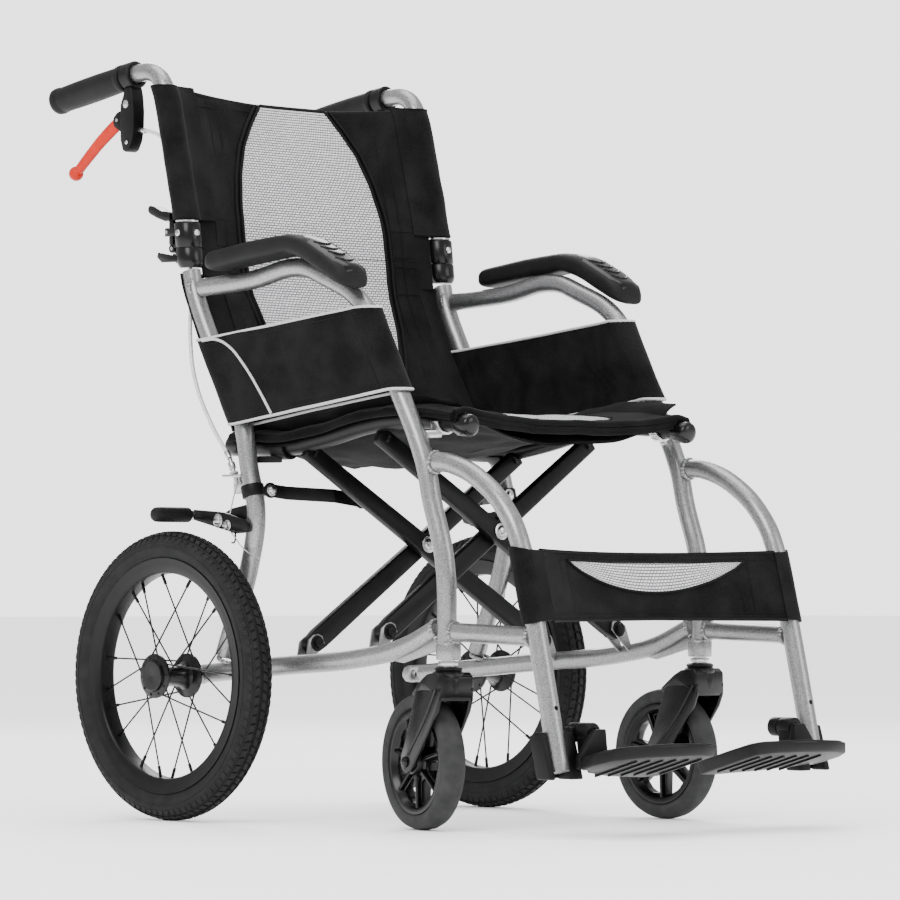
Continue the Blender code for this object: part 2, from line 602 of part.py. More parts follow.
def brace(name, carried):
    """One seat tube with the two bars that carry it."""
    height = BOLT_X * math.tan(BRACE_ANGLE)
    tube_solid = tube([at(carried, SEAT_TUBE_X, y, z) for y, z in SEAT_TUBE], SEAT_TUBE_R, 2, 3)
    holes = []
    for pair in (0, 1):
        middle = pair * PAIR_GAP + (-BRACE_LAYER if carried > 0 else BRACE_LAYER)
        reach = BRACE_THICK
        holes.append(fold_rod(-carried, BOLT_X, (middle - reach, middle + reach), 0.0, 0.0044, 8))
        holes.append(fold_rod(carried, 0.0, (middle - reach, middle + reach), height, 0.0044, 8))
    make(name, "black_paint", tube_solid, [brace_bar(carried, 0), brace_bar(carried, 1)], holes,
         origin=fold_point(-carried, BOLT_X, 0.0, 0.0))


def centre_bolt(name, pair):
    height = BOLT_X * math.tan(BRACE_ANGLE)
    middle = pair * PAIR_GAP
    reach = BRACE_LAYER + BRACE_THICK / 2 + 0.0005
    shank = fold_rod(1, 0.0, (middle - reach - 0.002, middle + reach + 0.002), height, 0.0040, 8)
    head = fold_rod(1, 0.0, (middle + reach, middle + reach + 0.0045), height, 0.0068, 6)
    nut = fold_rod(1, 0.0, (middle - reach - 0.0050, middle - reach), height, 0.0068, 6)
    make(name, "steel", shank, [head, nut], origin=fold_point(1, 0.0, middle, height))


def link(name, side):
    """A bent strap from the rear post to the back of the rear brace's upper half."""
    line = [(0.1900, -0.0430, 0.1829), (0.1660, -0.0430, 0.1799), (0.1180, LINK_LAYER, 0.1737),
            (0.0760, LINK_LAYER, 0.1684)]
    rings = []
    for x, along, up in line:
        rings.append([fold_point(side, x, along + t, up + w) for t, w in
                      ((-0.0015, -0.0080), (0.0015, -0.0080), (0.0015, 0.0080), (-0.0015, 0.0080))])
    ends = [fold_rod(side, x, (along - 0.0015, along + 0.0015), up, 0.0092, 12)
            for x, along, up in (line[0], line[-1])]
    bore = fold_rod(side, 0.190, (-0.060, -0.030), 0.1829, 0.0039, 8)
    make(name, "black_paint", loft(rings), ends, [bore], origin=fold_point(side, 0.190, -0.0430, 0.1829))


def seat_half(name, side):
    """Half of the seat sling, from above its tube to the middle of the chair."""
    rings = []
    for y in (-0.035, -0.115, -0.173, -0.2575, -0.302, -0.368, -0.405):
        base = height_on(SEAT_TUBE, y) + SEAT_TUBE_R + 0.0012
        section = [(0.1830, base), (0.1600, base), (0.0900, base - 0.008), (0.0003, base - 0.011),
                   (0.0003, base - 0.005), (0.0900, base - 0.002), (0.1600, base + 0.006), (0.1830, base + 0.006)]
        rings.append([at(side, x, y, z) for x, z in section])
    make(name, "fabric", loft(rings))


# Footrests


def footplate_bracket(name, side):
    """The moulding on the leg tube's lower end, with the pin that the footplate flips on."""
    block = slab(side, [(-0.5975, 0.0640), (-0.5795, 0.0640), (-0.5690, 0.1100), (-0.5868, 0.1100)],
                 0.1720, 0.2220)
    arm = box(side, (FLIP_X, 0.1760), (-0.5830, -0.5700), (0.1030, 0.1190))
    knuckle = rod(at(side, FLIP_X, -0.5830, FLIP_Z), at(side, FLIP_X, -0.5700, FLIP_Z), 0.0105)
    pin = rod(at(side, FLIP_X, -0.6040, FLIP_Z), at(side, FLIP_X, -0.5720, FLIP_Z), 0.0040, 8)
    (y0, z0), (y1, z1) = ARCH[-2:]
    lean = (y1 - y0) / (z1 - z0)
    seat = rod(at(side, FRAME_X, y1 - lean * 0.03, z1 - 0.03), at(side, FRAME_X, y1 + lean * 0.09, z1 + 0.09),
               TUBE_R + 0.0006)
    make(name, "black_plastic", block, [arm, knuckle, pin], [seat])


def footplate(name, side):
    outline = [(0.1680, -0.5970), (0.1680, -0.6400), (0.1600, -0.6550), (0.1400, -0.6640), (0.0600, -0.6680),
               (0.0300, -0.6600), (0.0200, -0.6450), (0.0200, -0.5900), (0.0260, -0.5760), (0.0600, -0.5730),
               (0.1200, -0.5840)]
    slope = math.tan(math.radians(15.6))
    # the underside stops short of the middle, so that the two plates pass each other as they flip up
    plate = loft([[at(side, max(x, inner), y, base - (y + 0.590) * slope) for x, y in outline]
                  for base, inner in ((0.0670, 0.0350), (0.0790, 0.0230))])
    neck = slab(side, [(-0.6035, 0.0760), (-0.5900, 0.0760), (-0.5850, 0.1100), (-0.6035, 0.1100)],
                0.1500, 0.1680)
    knuckle = rod(at(side, FLIP_X, -0.6035, FLIP_Z), at(side, FLIP_X, -0.5840, FLIP_Z), 0.0105)
    bore = rod(at(side, FLIP_X, -0.62, FLIP_Z), at(side, FLIP_X, -0.56, FLIP_Z), 0.0044, 8)
    make(name, "black_plastic", plate, [neck, knuckle], [bore], origin=at(side, FLIP_X, -0.59, FLIP_Z))


def clear_scene():
    for obj in list(bpy.data.objects):
        bpy.data.objects.remove(obj)


def side_frame(prefix, side):
    hinge = at(side, FRAME_X, HINGE_Y, HINGE_Z)
    rear_post(f"{prefix}_rear_post", side)
    arm_tube(f"{prefix}_arm_tube", side)
    lower_rail(f"{prefix}_lower_rail", side)
    leg_frame(f"{prefix}_leg_frame", side)
    arm_pad(f"{prefix}_arm_pad", side)
    side_panel(f"{prefix}_side_panel", side)
    hinge_lower(f"{prefix}_hinge_lower", side)
    hinge_upper(f"{prefix}_hinge_upper", side, hinge)
    release_lever(f"{prefix}_release_lever", side)
    cane(f"{prefix}_cane", side, hinge)
    grip(f"{prefix}_grip", side, hinge)
    brake_housing(f"{prefix}_brake_housing", side, hinge)
    brake_lever(f"{prefix}_brake_lever", side)
    brake_cable(f"{prefix}_brake_cable", side)
    back_sleeve(f"{prefix}_back_sleeve", side, hinge)
    brake_arm(f"{prefix}_brake_arm", side)
    rear_wheel(prefix, side)
    caster(prefix, side)
    brace(f"{prefix}_seat_brace", side)
    link(f"{prefix}_link", side)
    seat_half(f"{prefix}_seat_half", side)
    footplate_bracket(f"{prefix}_footplate_bracket", side)
    footplate(f"{prefix}_footplate", side)


def main():
    clear_scene()
    for prefix, side in SIDES.items():
        side_frame(prefix, side)
    back_panels(at(SIDES["right"], FRAME_X, HINGE_Y, HINGE_Z))
    calf_strap()
    centre_bolt("rear_centre_bolt", 0)
    centre_bolt("front_centre_bolt", 1)


main()
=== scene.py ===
"""The looks of a folding transport wheelchair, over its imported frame.

Metres in the row frame, +Z up. The occupant faces -Y, and right_* is at -X.
Y in the tables is measured from the rear axle, which at() moves to the frame's own axle.
"""
import json
import math

import bmesh
import bpy
from mathutils import Matrix, Vector, noise

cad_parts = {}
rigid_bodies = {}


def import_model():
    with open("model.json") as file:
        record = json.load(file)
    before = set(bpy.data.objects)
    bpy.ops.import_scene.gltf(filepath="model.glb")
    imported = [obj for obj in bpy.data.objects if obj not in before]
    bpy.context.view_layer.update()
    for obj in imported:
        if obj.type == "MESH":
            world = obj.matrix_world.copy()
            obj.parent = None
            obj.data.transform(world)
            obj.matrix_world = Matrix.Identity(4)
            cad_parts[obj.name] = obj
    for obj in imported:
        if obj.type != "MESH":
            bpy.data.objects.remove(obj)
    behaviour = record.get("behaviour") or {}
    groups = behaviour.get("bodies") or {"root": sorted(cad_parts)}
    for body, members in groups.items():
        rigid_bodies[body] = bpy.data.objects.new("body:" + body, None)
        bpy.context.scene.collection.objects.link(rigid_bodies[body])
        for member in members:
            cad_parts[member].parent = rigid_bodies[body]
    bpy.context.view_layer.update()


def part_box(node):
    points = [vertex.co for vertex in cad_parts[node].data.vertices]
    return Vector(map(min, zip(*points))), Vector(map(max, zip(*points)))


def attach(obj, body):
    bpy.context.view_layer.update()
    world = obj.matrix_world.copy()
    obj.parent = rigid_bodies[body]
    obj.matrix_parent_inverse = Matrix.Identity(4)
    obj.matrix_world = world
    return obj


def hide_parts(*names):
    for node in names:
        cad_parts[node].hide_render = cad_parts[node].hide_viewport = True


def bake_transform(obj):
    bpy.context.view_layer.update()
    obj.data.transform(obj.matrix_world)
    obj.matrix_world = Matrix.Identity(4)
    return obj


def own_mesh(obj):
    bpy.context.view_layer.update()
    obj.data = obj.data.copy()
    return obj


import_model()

SIDES = {"right": -1, "left": 1}
low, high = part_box("right_rear_rim")
AXLE_Y = (low.y + high.y) / 2
REAR_X = -(low.x + high.x) / 2
AXLE_Z = (low.z + high.z) / 2
FRAME_X = 0.202
TUBE_R = 0.011

REAR_POST = [(0.0256, 0.6425), (0.020, 0.621), (-0.010, 0.560), (-0.068, 0.460), (-0.080, 0.407),
             (-0.092, 0.360), (-0.085, 0.310), (-0.036, 0.192)]
ARM_TUBE = [(0.003, 0.6225), (-0.086, 0.627), (-0.173, 0.637), (-0.210, 0.6255), (-0.278, 0.589),
            (-0.338, 0.489), (-0.380, 0.4095), (-0.391, 0.368), (-0.412, 0.301), (-0.416, 0.204)]
LOWER_RAIL = [(0.060, 0.1652), (-0.1175, 0.179), (-0.300, 0.194), (-0.350, 0.2045), (-0.3995, 0.2240)]
ARCH = [(-0.3955, 0.4095), (-0.423, 0.407), (-0.478, 0.383), (-0.515, 0.349), (-0.5325, 0.319),
        (-0.555, 0.236), (-0.594, 0.071)]
STRETCHER = [(-0.4278, 0.2208), (-0.553, 0.2165)]
SEAT_TUBE = [(-0.020, 0.437), (-0.115, 0.433), (-0.173, 0.440), (-0.2575, 0.455), (-0.302, 0.459),
             (-0.368, 0.457), (-0.421, 0.450)]
CANE = [(0.0343, 0.7050), (0.0540, 0.785), (0.0700, 0.850), (0.0800, 0.871), (0.0960, 0.8825),
        (0.117, 0.8845), (0.1475, 0.881)]
GRIP = [(0.1480, 0.8810), (0.2800, 0.8620)]
CABLE = [(0.200, 0.1225, 0.817), (0.195, 0.100, 0.811), (0.187, 0.080, 0.795), (0.184, 0.067, 0.770),
         (0.184, 0.0545, 0.720), (0.184, 0.0515, 0.680), (0.184, 0.0490, 0.650), (0.188, 0.043, 0.615),
         (0.200, 0.0295, 0.563), (0.2075, 0.012, 0.515), (0.2105, -0.018, 0.466), (0.2105, -0.0548, 0.4205)]
PAD_STATIONS = [(-0.035, 0.6385, 0.6565, 0.1990, 0.2380), (-0.040, 0.6375, 0.6610, 0.1955, 0.2415),
                (-0.080, 0.6412, 0.6655, 0.1955, 0.2415), (-0.120, 0.6450, 0.6700, 0.1955, 0.2415),
                (-0.160, 0.6483, 0.6728, 0.1955, 0.2415), (-0.185, 0.6500, 0.6735, 0.1955, 0.2415),
                (-0.215, 0.6400, 0.6670, 0.1955, 0.2430), (-0.255, 0.6195, 0.6480, 0.1955, 0.2440),
                (-0.280, 0.6080, 0.6330, 0.1965, 0.2430), (-0.290, 0.6025, 0.6220, 0.2010, 0.2390)]
FOLD_TILT = math.radians(6.5)
FOLD_ORIGIN = (-0.167, 0.206)
BOLT_X, PAIR_GAP, BRACE_ANGLE = 0.176, 0.1250, math.radians(33)
BRACE_THICK, BRACE_FACE, BRACE_LAYER, LINK_LAYER = 0.0120, 0.0250, 0.0064, -0.0148
SEAT_TUBE_X, SEAT_TUBE_R = 0.173, 0.0105
HINGE_Y, HINGE_Z = 0.0504, 0.6703
BRAKE_Y, BRAKE_Z = -0.047, 0.348
HANDLE_Y, HANDLE_Z = 0.1555, 0.8300
FLIP_X, FLIP_Z = 0.160, 0.113
HUB_X = (0.2263, 0.2830)
CASTER_X, CASTER_Y, CASTER_R, TRAIL = 0.200, -0.416, 0.076, 0.056
CASTER_REST = {"right": 13.0, "left": 1.0}
PANEL_HALF = 0.1595  # half the back panel's width
THREAD_R = 0.0005
STITCH_OUT, PIPING_OUT = Vector((0, -0.0023, 0)), Vector((0, -0.0036,
                                                          0))  # from the back panel's middle surface


def at(side, x, y, z):
    return Vector((side * x, y + AXLE_Y, z))


def fold_point(side, x, along, up):
    y, z = FOLD_ORIGIN
    y += -along * math.cos(FOLD_TILT) + up * math.sin(FOLD_TILT)
    z += along * math.sin(FOLD_TILT) + up * math.cos(FOLD_TILT)
    return at(side, x, y, z)


def on_line(line, value):
    """The second number of a line of pairs where the first is value."""
    for (a0, b0), (a1, b1) in zip(line, line[1:]):
        if min(a0, a1) <= value <= max(a0, a1):
            return b0 + (b1 - b0) * (value - a0) / (a1 - a0)
    return line[0][1] if abs(value - line[0][0]) < abs(value - line[-1][0]) else line[-1][1]


def depth_on(line, z):
    return on_line([(b, a) for a, b in line], z)


# ---- materials

class Nodes:
    """A material's node tree, with short ways to add to it."""

    def __init__(self, name, colour, rough, metallic=0.0, **more):
        self.made = bpy.data.materials.new(name)
        self.made.use_nodes = True
        self.tree = self.made.node_tree
        self.shader = self.tree.nodes["Principled BSDF"]
        self.set(self.shader, **{"Base Color": (*colour, 1), "Roughness": rough, "Metallic": metallic},
                 **more)
        self.place = self.add("ShaderNodeTexCoord").outputs["Object"]
        self.bump = None

    def set(self, node, **values):
        for key, value in values.items():
            node.inputs[key.replace("__", " ")].default_value = value

    def add(self, kind, props=(), links=(), **values):
        node = self.tree.nodes.new(kind)
        for key, value in dict(props).items():
            setattr(node, key, value)
        self.set(node, **values)
        for key, socket in dict(links).items():
            self.tree.links.new(socket, node.inputs[key])
        return node

    def noise(self, scale, detail=3, stretch=None):
        place = self.place
        if stretch:
            place = self.add("ShaderNodeMapping", links={"Vector": place}, Scale=stretch).outputs[0]
        return self.add("ShaderNodeTexNoise", links={"Vector": place}, Scale=scale,
                        Detail=detail).outputs["Fac"]

    def cells(self, scale, feature="F1", out="Distance", randomness=1.0):
        node = self.add("ShaderNodeTexVoronoi", {"feature": feature}, {"Vector": self.place}, Scale=scale,
                        Randomness=randomness)
        return node.outputs[out]

    def ramp(self, fac, *stops):
        node = self.add("ShaderNodeValToRGB", links={"Fac": fac})
        for element, (spot, value) in zip(node.color_ramp.elements, stops):
            element.position = spot
            element.color = value if isinstance(value, tuple) else (value, value, value, 1)
        return node.outputs["Color"]

    def mix(self, fac, a, b, kind="MIX"):
        node = self.add("ShaderNodeMix", {"data_type": "RGBA", "blend_type": kind})
        for socket, value in ((node.inputs[0], fac), (node.inputs[6], a), (node.inputs[7], b)):
            if hasattr(value, "is_output"):
                self.tree.links.new(value, socket)
            else:
                socket.default_value = value
        return node.outputs[2]

    def into(self, name, socket):
        self.tree.links.new(socket, self.shader.inputs[name])

    def rough(self, socket, low, high):
        self.into("Roughness", self.add("ShaderNodeMapRange", links={"Value": socket}, **{
            "To Min": low, "To Max": high}).outputs[0])

    def relief(self, socket, distance, strength=1.0):
        links = {"Height": socket}
        if self.bump:
            links["Normal"] = self.bump
        node = self.add("ShaderNodeBump", links=links, Distance=distance, Strength=strength)
        self.bump = node.outputs[0]
        self.into("Normal", self.bump)


def grey(value, tint=1.0):
    return (value, value, value * tint, 1)


def flake_paint(name):
    m = Nodes(name, (0.26, 0.26, 0.27), 0.34, 0.88, **{"Coat Weight": 0.5, "Coat Roughness": 0.12})
    flakes = m.cells(1500, out="Color")
    light = m.add("ShaderNodeRGBToBW", links={"Color": flakes}).outputs[0]
    m.into("Base Color", m.ramp(light, (0.15, grey(0.16, 1.02)), (0.90, grey(0.42, 1.01))))
    m.rough(light, 0.26, 0.48)
    m.relief(light, 0.00006, 0.35)
    m.relief(m.noise(160), 0.0002, 0.12)
    return m.made


def powder_coat(name):
    m = Nodes(name, (0.004, 0.004, 0.004), 0.36, **{"Specular IOR Level": 0.22})
    m.into("Base Color", m.ramp(m.noise(60), (0.3, grey(0.0018, 1.05)), (0.7, grey(0.0036, 1.05))))
    m.relief(m.noise(900, 2), 0.0002, 0.25)
    m.rough(m.noise(30), 0.30, 0.44)
    return m.made


def turned_steel(name, base=0.62):
    m = Nodes(name, (base, base, base), 0.24, 1.0)
    lines = m.noise(700, 2, (1, 1, 14))
    m.into("Base Color", m.ramp(lines, (0.3, grey(base * 0.8)), (0.7, grey(base * 1.1))))
    m.rough(lines, 0.16, 0.36)
    m.relief(lines, 0.00005, 0.3)
    return m.made


def moulded(name, base=0.003, low=0.36, high=0.50, grain=1600, depth=0.00010, shine=0.18):
    m = Nodes(name, (base, base, base * 1.05), low, **{"Specular IOR Level": shine})
    m.into("Base Color", m.ramp(m.noise(45), (0.3, grey(base * 0.8, 1.05)), (0.7, grey(base * 1.3, 1.05))))
    m.rough(m.noise(25), low, high)
    m.relief(m.cells(grain), depth, 0.5)
    m.relief(m.noise(30, 2), 0.0006, 0.12)
    return m.made


def woven(name, base=0.0035, nap=0.5):
    """A short-napped black cloth: crossed threads under a soft pile."""
    m = Nodes(name, (base, base, base), 0.92, **{"Sheen Weight": 0.04, "Sheen Roughness": 0.4,
                                                  "Specular IOR Level": 0.10})
    threads = []
    for axis in ("X", "Z"):
        wave = m.add("ShaderNodeTexWave", {"bands_direction": axis}, {"Vector": m.place}, Scale=310.0,
                     Distortion=0.6, Detail=1.0)
        threads.append(wave.outputs["Fac"])
    weave = m.mix(0.5, *[m.ramp(t, (0.0, 0.0), (1.0, 1.0)) for t in threads])
    pile = m.noise(420, 4)
    cloudy = m.noise(22, 3)
    shade = m.mix(nap, weave, m.ramp(pile, (0.3, 0.0), (0.7, 1.0)))
    tone = m.mix(0.45, shade, m.ramp(cloudy, (0.35, 0.0), (0.65, 1.0)))
    m.into("Base Color", m.ramp(tone, (0.2, grey(base * 0.45, 1.08)), (0.85, grey(base * 2.1, 1.08))))
    m.relief(shade, 0.0005, 0.55)
    m.relief(cloudy, 0.004, 0.10)
    return m.made


def air_mesh(name):
    """A pale spacer mesh: staggered open cells over a darker ground, laid out in metres by the UV map."""
    m = Nodes(name, (0.6, 0.6, 0.6), 0.75, **{"Specular IOR Level": 0.25})
    place = m.add("ShaderNodeTexCoord").outputs["UV"]
    cell = m.add("ShaderNodeTexBrick", {"offset": 0.5}, {"Vector": place}, Scale=1.0, **{
        "Brick Width": 0.0052, "Row Height": 0.0031, "Mortar Size": 0.00062, "Mortar Smooth": 0.55,
        "Color1": grey(0.60, 1.03), "Color2": grey(0.48, 1.03), "Mortar": grey(0.05, 1.05)})
    m.into("Base Color", m.mix(0.25, cell.outputs["Color"], m.ramp(m.noise(900, 3), (0.3, 0.30), (0.7, 0.85)),
                               "MULTIPLY"))
    inverse = m.add("ShaderNodeMath", {"operation": "SUBTRACT"}, {1: cell.outputs["Fac"]}).outputs[0]
    inverse.node.inputs[0].default_value = 1.0
    m.relief(inverse, 0.0009, 0.8)
    return m.made


def tyre_rubber(name, base):
    m = Nodes(name, (base, base, base), 0.72, **{"Specular IOR Level": 0.15})
    m.into("Base Color", m.ramp(m.noise(70), (0.3, grey(base * 0.8, 1.03)), (0.7, grey(base * 1.3, 1.03))))
    m.rough(m.noise(40), 0.58, 0.82)
    m.relief(m.noise(1300, 3), 0.00016, 0.6)
    return m.made


def dipped(name):
    m = Nodes(name, (0.42, 0.012, 0.002), 0.38, **{"Specular IOR Level": 0.2})
    m.into("Base Color", m.ramp(m.noise(80), (0.3, (0.38, 0.009, 0.002, 1)), (0.7, (0.46, 0.015, 0.003, 1))))
    m.rough(m.noise(60), 0.30, 0.48)
    m.relief(m.noise(500), 0.0002, 0.2)
    return m.made


def cable_coat(name):
    m = Nodes(name, (0.56, 0.56, 0.57), 0.35, 0.25)
    m.into("Base Color", m.ramp(m.noise(300), (0.3, grey(0.46)), (0.7, grey(0.66))))
    m.relief(m.noise(1400, 2, (1, 1, 0.2)), 0.0001, 0.4)
    m.rough(m.noise(120), 0.28, 0.45)
    return m.made


def piping_cord(name, base):
    m = Nodes(name, (base, base, base), 0.6, **{"Specular IOR Level": 0.12})
    m.into("Base Color", m.ramp(m.noise(700, 3), (0.3, grey(base * 0.7)), (0.7, grey(base * 1.15))))
    m.relief(m.noise(1500, 2), 0.0003, 0.6)
    m.rough(m.noise(90), 0.5, 0.75)
    return m.made


SLOTS = {
    "frame_paint": flake_paint("frame_paint_look"), "black_paint": powder_coat("black_paint_look"),
    "steel": turned_steel("steel_look"), "black_plastic": moulded("black_plastic_look"),
    "soft_black": moulded("soft_black_look", 0.005, 0.50, 0.66, 1100, 0.00016),
    "fabric": woven("fabric_look"), "tyre": tyre_rubber("tyre_look", 0.010),
    "caster_rubber": tyre_rubber("caster_rubber_look", 0.026), "lever_red": dipped("lever_red_look"),
    "cable_sleeve": cable_coat("cable_sleeve_look"),
}
SMOOTH_BLACK = moulded("smooth_black_look", 0.002, 0.18, 0.30, 900, 0.00004, 0.32)
AIR_MESH = air_mesh("air_mesh_look")
EDGE_CLOTH = woven("edge_cloth_look", 0.0025, 0.3)
PALE_PIPING = piping_cord("pale_piping_look", 0.42)
DARK_PIPING = piping_cord("dark_piping_look", 0.004)
THREAD = piping_cord("thread_look", 0.0045)


# ---- shapes, each a bmesh in the row frame

def finish(solid):
    bmesh.ops.remove_doubles(solid, verts=solid.verts, dist=1e-6)
    bmesh.ops.recalc_face_normals(solid, faces=solid.faces)
    return solid


def loft(rings, closed=False):
    solid = bmesh.new()
    rows = [[solid.verts.new(point) for point in ring] for ring in rings]
    for low, high in zip(rows, rows[1:] + (rows[:1] if closed else [])):
        for i in range(len(low)):
            j = (i + 1) % len(low)
            solid.faces.new((low[i], low[j], high[j], high[i]))
    if not closed:
        solid.faces.new(rows[0][::-1])
        solid.faces.new(rows[-1])
    return finish(solid)


def basis(axis):
    axis = Vector(axis).normalized()
    start = Vector((1, 0, 0)) if abs(axis.x) < 0.9 else Vector((0, 0, 1))
    first = (start - start.dot(axis) * axis).normalized()
    return axis, first, axis.cross(first)


def ring_about(centre, axis, radius, sides=28, squash=1.0):
    axis, first, second = basis(axis)
    angles = [2 * math.pi * (i + 0.5) / sides for i in range(sides)]
    return [centre + radius * (math.cos(a) * first + squash * math.sin(a) * second) for a in angles]


def rod(start, end, radius, sides=20, end_radius=None):
    end_radius = radius if end_radius is None else end_radius
    return loft([ring_about(start, end - start, radius, sides),
                 ring_about(end, end - start, end_radius, sides)])


def revolve(profile, start, axis, sides=48):
    """Rings of (radius, distance along the axis), closed at both ends."""
    axis = Vector(axis).normalized()
    start = Vector(start)
    return loft([ring_about(start + axis * h, axis, max(r, 1e-5), sides) for r, h in profile])


def hoop(profile, start, axis, sides=96):
    """A closed profile of (radius, distance along the axis) turned about the line from start."""
    axis, first, second = basis(axis)
    rings = []
    for i in range(sides):
        a = 2 * math.pi * i / sides
        out = math.cos(a) * first + math.sin(a) * second
        rings.append([start + out * r + axis * h for r, h in profile])
    return loft(rings, closed=True)


def ball(centre, radius, squash=(1, 1, 1), sides=20):
    solid = bmesh.new()
    bmesh.ops.create_uvsphere(solid, u_segments=sides, v_segments=sides // 2, radius=radius)
    bmesh.ops.scale(solid, verts=solid.verts, vec=squash)
    bmesh.ops.translate(solid, verts=solid.verts, vec=centre)
    return solid


def slab(side, outline, x_from, x_to):
    return loft([[at(side, x, y, z) for y, z in outline] for x in (x_from, x_to)])


def box(side, x, y, z):
    return slab(side, [(y[0], z[0]), (y[1], z[0]), (y[1], z[1]), (y[0], z[1])], *x)


def tube(points, radius, steps=8, bevel=6):
    curve = bpy.data.curves.new("centre_line", "CURVE")
    curve.dimensions = "3D"
    curve.bevel_depth = radius
    curve.bevel_resolution = bevel
    curve.resolution_u = steps
    curve.use_fill_caps = True
    spline = curve.splines.new("BEZIER")
    spline.bezier_points.add(len(points) - 1)
    for knot, point in zip(spline.bezier_points, points):
        knot.co = point
        knot.handle_left_type = knot.handle_right_type = "AUTO"
    holder = bpy.data.objects.new("centre_line", curve)
    mesh = bpy.data.meshes.new_from_object(holder)
    solid = bmesh.new()
    solid.from_mesh(mesh)
    for data, kind in ((holder, bpy.data.objects), (mesh, bpy.data.meshes), (curve, bpy.data.curves)):
        kind.remove(data)
    return finish(solid)


def frame_tube(side, line, radius=TUBE_R):
    return tube([at(side, FRAME_X, y, z) for y, z in line], radius)


def both_ways(profile, shared=False):
    """A profile and its mirror image about its last height, whose middle point they may share."""
    return profile + [(r, -h) for r, h in reversed(profile[:-1] if shared else profile)]


def brace_layer(side):
    """The braces that are footed on this side lie this far along the row from their pair's middle."""
    return side * BRACE_LAYER


def joined(solids):
    whole = bmesh.new()
    for solid in solids:
        mesh = bpy.data.meshes.new("piece")
        solid.to_mesh(mesh)
        solid.free()
        whole.from_mesh(mesh)
        bpy.data.meshes.remove(mesh)
    return whole


def bead(centre, axis, radius, thick=0.0022, seed=1, squash=1.0):
    """A rippled ring of weld."""
    axis, first, second = basis(axis)
    rings = []
    for i in range(72):
        a = 2 * math.pi * i / 72
        out = math.cos(a) * first + squash * math.sin(a) * second
        fat = thick * (1 + 0.22 * math.sin(a * 19) + 0.2 * noise.noise(Vector((a * 4, seed, 0))))
        rings.append([centre + out * (radius + fat * 0.8 * math.cos(t)) + axis * fat * math.sin(t)
                      for t in [2 * math.pi * k / 8 for k in range(8)]])
    return loft(rings, closed=True)


def put(name, solid, look, body, replaces=(), angle=35, bevel=0.0, cut=(), segments=2):
    """A piece from a bmesh: its finish, body, slot and the CAD nodes that it stands for."""
    material = SLOTS[look] if isinstance(look, str) else look
    mesh = bpy.data.meshes.new(name)
    solid.to_mesh(mesh)
    solid.free()
    obj = bpy.data.objects.new(name, mesh)
    bpy.context.scene.collection.objects.link(obj)
    mesh.materials.append(material)
    for i, other in enumerate(cut):
        helper = bpy.data.objects.new(f"{name}_cut", bpy.data.meshes.new("cut"))
        other.to_mesh(helper.data)
        bpy.context.scene.collection.objects.link(helper)
        step = obj.modifiers.new(f"cut{i}", "BOOLEAN")
        step.operation = "DIFFERENCE"
        step.solver = "EXACT"
        step.object = helper
        bake(obj)
        bpy.data.objects.remove(helper)
    if bevel:
        step = obj.modifiers.new("edge", "BEVEL")
        step.width = bevel
        step.segments = segments
        step.limit_method = "ANGLE"
        step.angle_limit = math.radians(28)
        bake(obj)
    obj.data.shade_smooth()
    obj.data.set_sharp_from_angle(angle=math.radians(angle))
    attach(obj, body)
    if replaces:
        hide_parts(*replaces)
    return obj


def bake(obj):
    """The object's mesh as its modifiers leave it."""
    graph = bpy.context.evaluated_depsgraph_get()
    graph.update()
    done = bpy.data.meshes.new_from_object(obj.evaluated_get(graph))
    obj.modifiers.clear()
    old = obj.data
    obj.data = done
    bpy.data.meshes.remove(old)
    done.name = obj.name


def cloth(name, place, nu, nv, thick, size, look, body, replaces=(), wrap=False, ripple=0.0,
          seed=0):
    """A sheet through place(u, v), closed all round, with its UV map in metres. wrap joins its two u ends."""
    grid = [[place(i / nu, j / nv) for j in range(nv + 1)] for i in range(nu + (0 if wrap else 1))]
    n = len(grid)

    def pick(i, j):
        return grid[i % n if wrap else max(0, min(n - 1, i))][max(0, min(nv, j))]

    solid = bmesh.new()
    uv = solid.loops.layers.uv.new("UVMap")
    front, back = [], []
    for i in range(n):
        front.append([])
        back.append([])
        for j in range(nv + 1):
            normal = (pick(i + 1, j) - pick(i - 1, j)).cross(pick(i, j + 1) - pick(i, j - 1)).normalized()
            point = grid[i][j]
            if ripple:
                point = point + normal * ripple * noise.noise(point * 22 + Vector((seed, 0, 0)))
            front[i].append(solid.verts.new(point + normal * thick / 2))
            back[i].append(solid.verts.new(point - normal * thick / 2))

    def face(verts, spots):
        made = solid.faces.new(verts)
        for loop, (a, b) in zip(made.loops, spots):
            loop[uv].uv = (a * size[0], b * size[1])

    last = n if wrap else n - 1
    for i in range(last):
        k = (i + 1) % n
        for j in range(nv):
            spots = [(i / nu, j / nv), ((i + 1) / nu, j / nv), ((i + 1) / nu, (j + 1) / nv),
                     (i / nu, (j + 1) / nv)]
            face((front[i][j], front[k][j], front[k][j + 1], front[i][j + 1]), spots)
            face((back[i][j], back[i][j + 1], back[k][j + 1], back[k][j]),
                 [spots[0], spots[3], spots[2], spots[1]])
        for j, order in ((0, 1), (nv, -1)):
            rim = [back[i][j], back[k][j], front[k][j], front[i][j]][::order]
            face(rim, [(i / nu, j / nv)] * 4)
    if not wrap:
        for i, order in ((0, -1), (n - 1, 1)):
            for j in range(nv):
                rim = [back[i][j], back[i][j + 1], front[i][j + 1], front[i][j]][::order]
                face(rim, [(i / nu, j / nv)] * 4)
    bmesh.ops.recalc_face_normals(solid, faces=solid.faces)
    return put(name, solid, look, body, replaces, angle=60)


# ---- the frame's tubes and wheels, by side

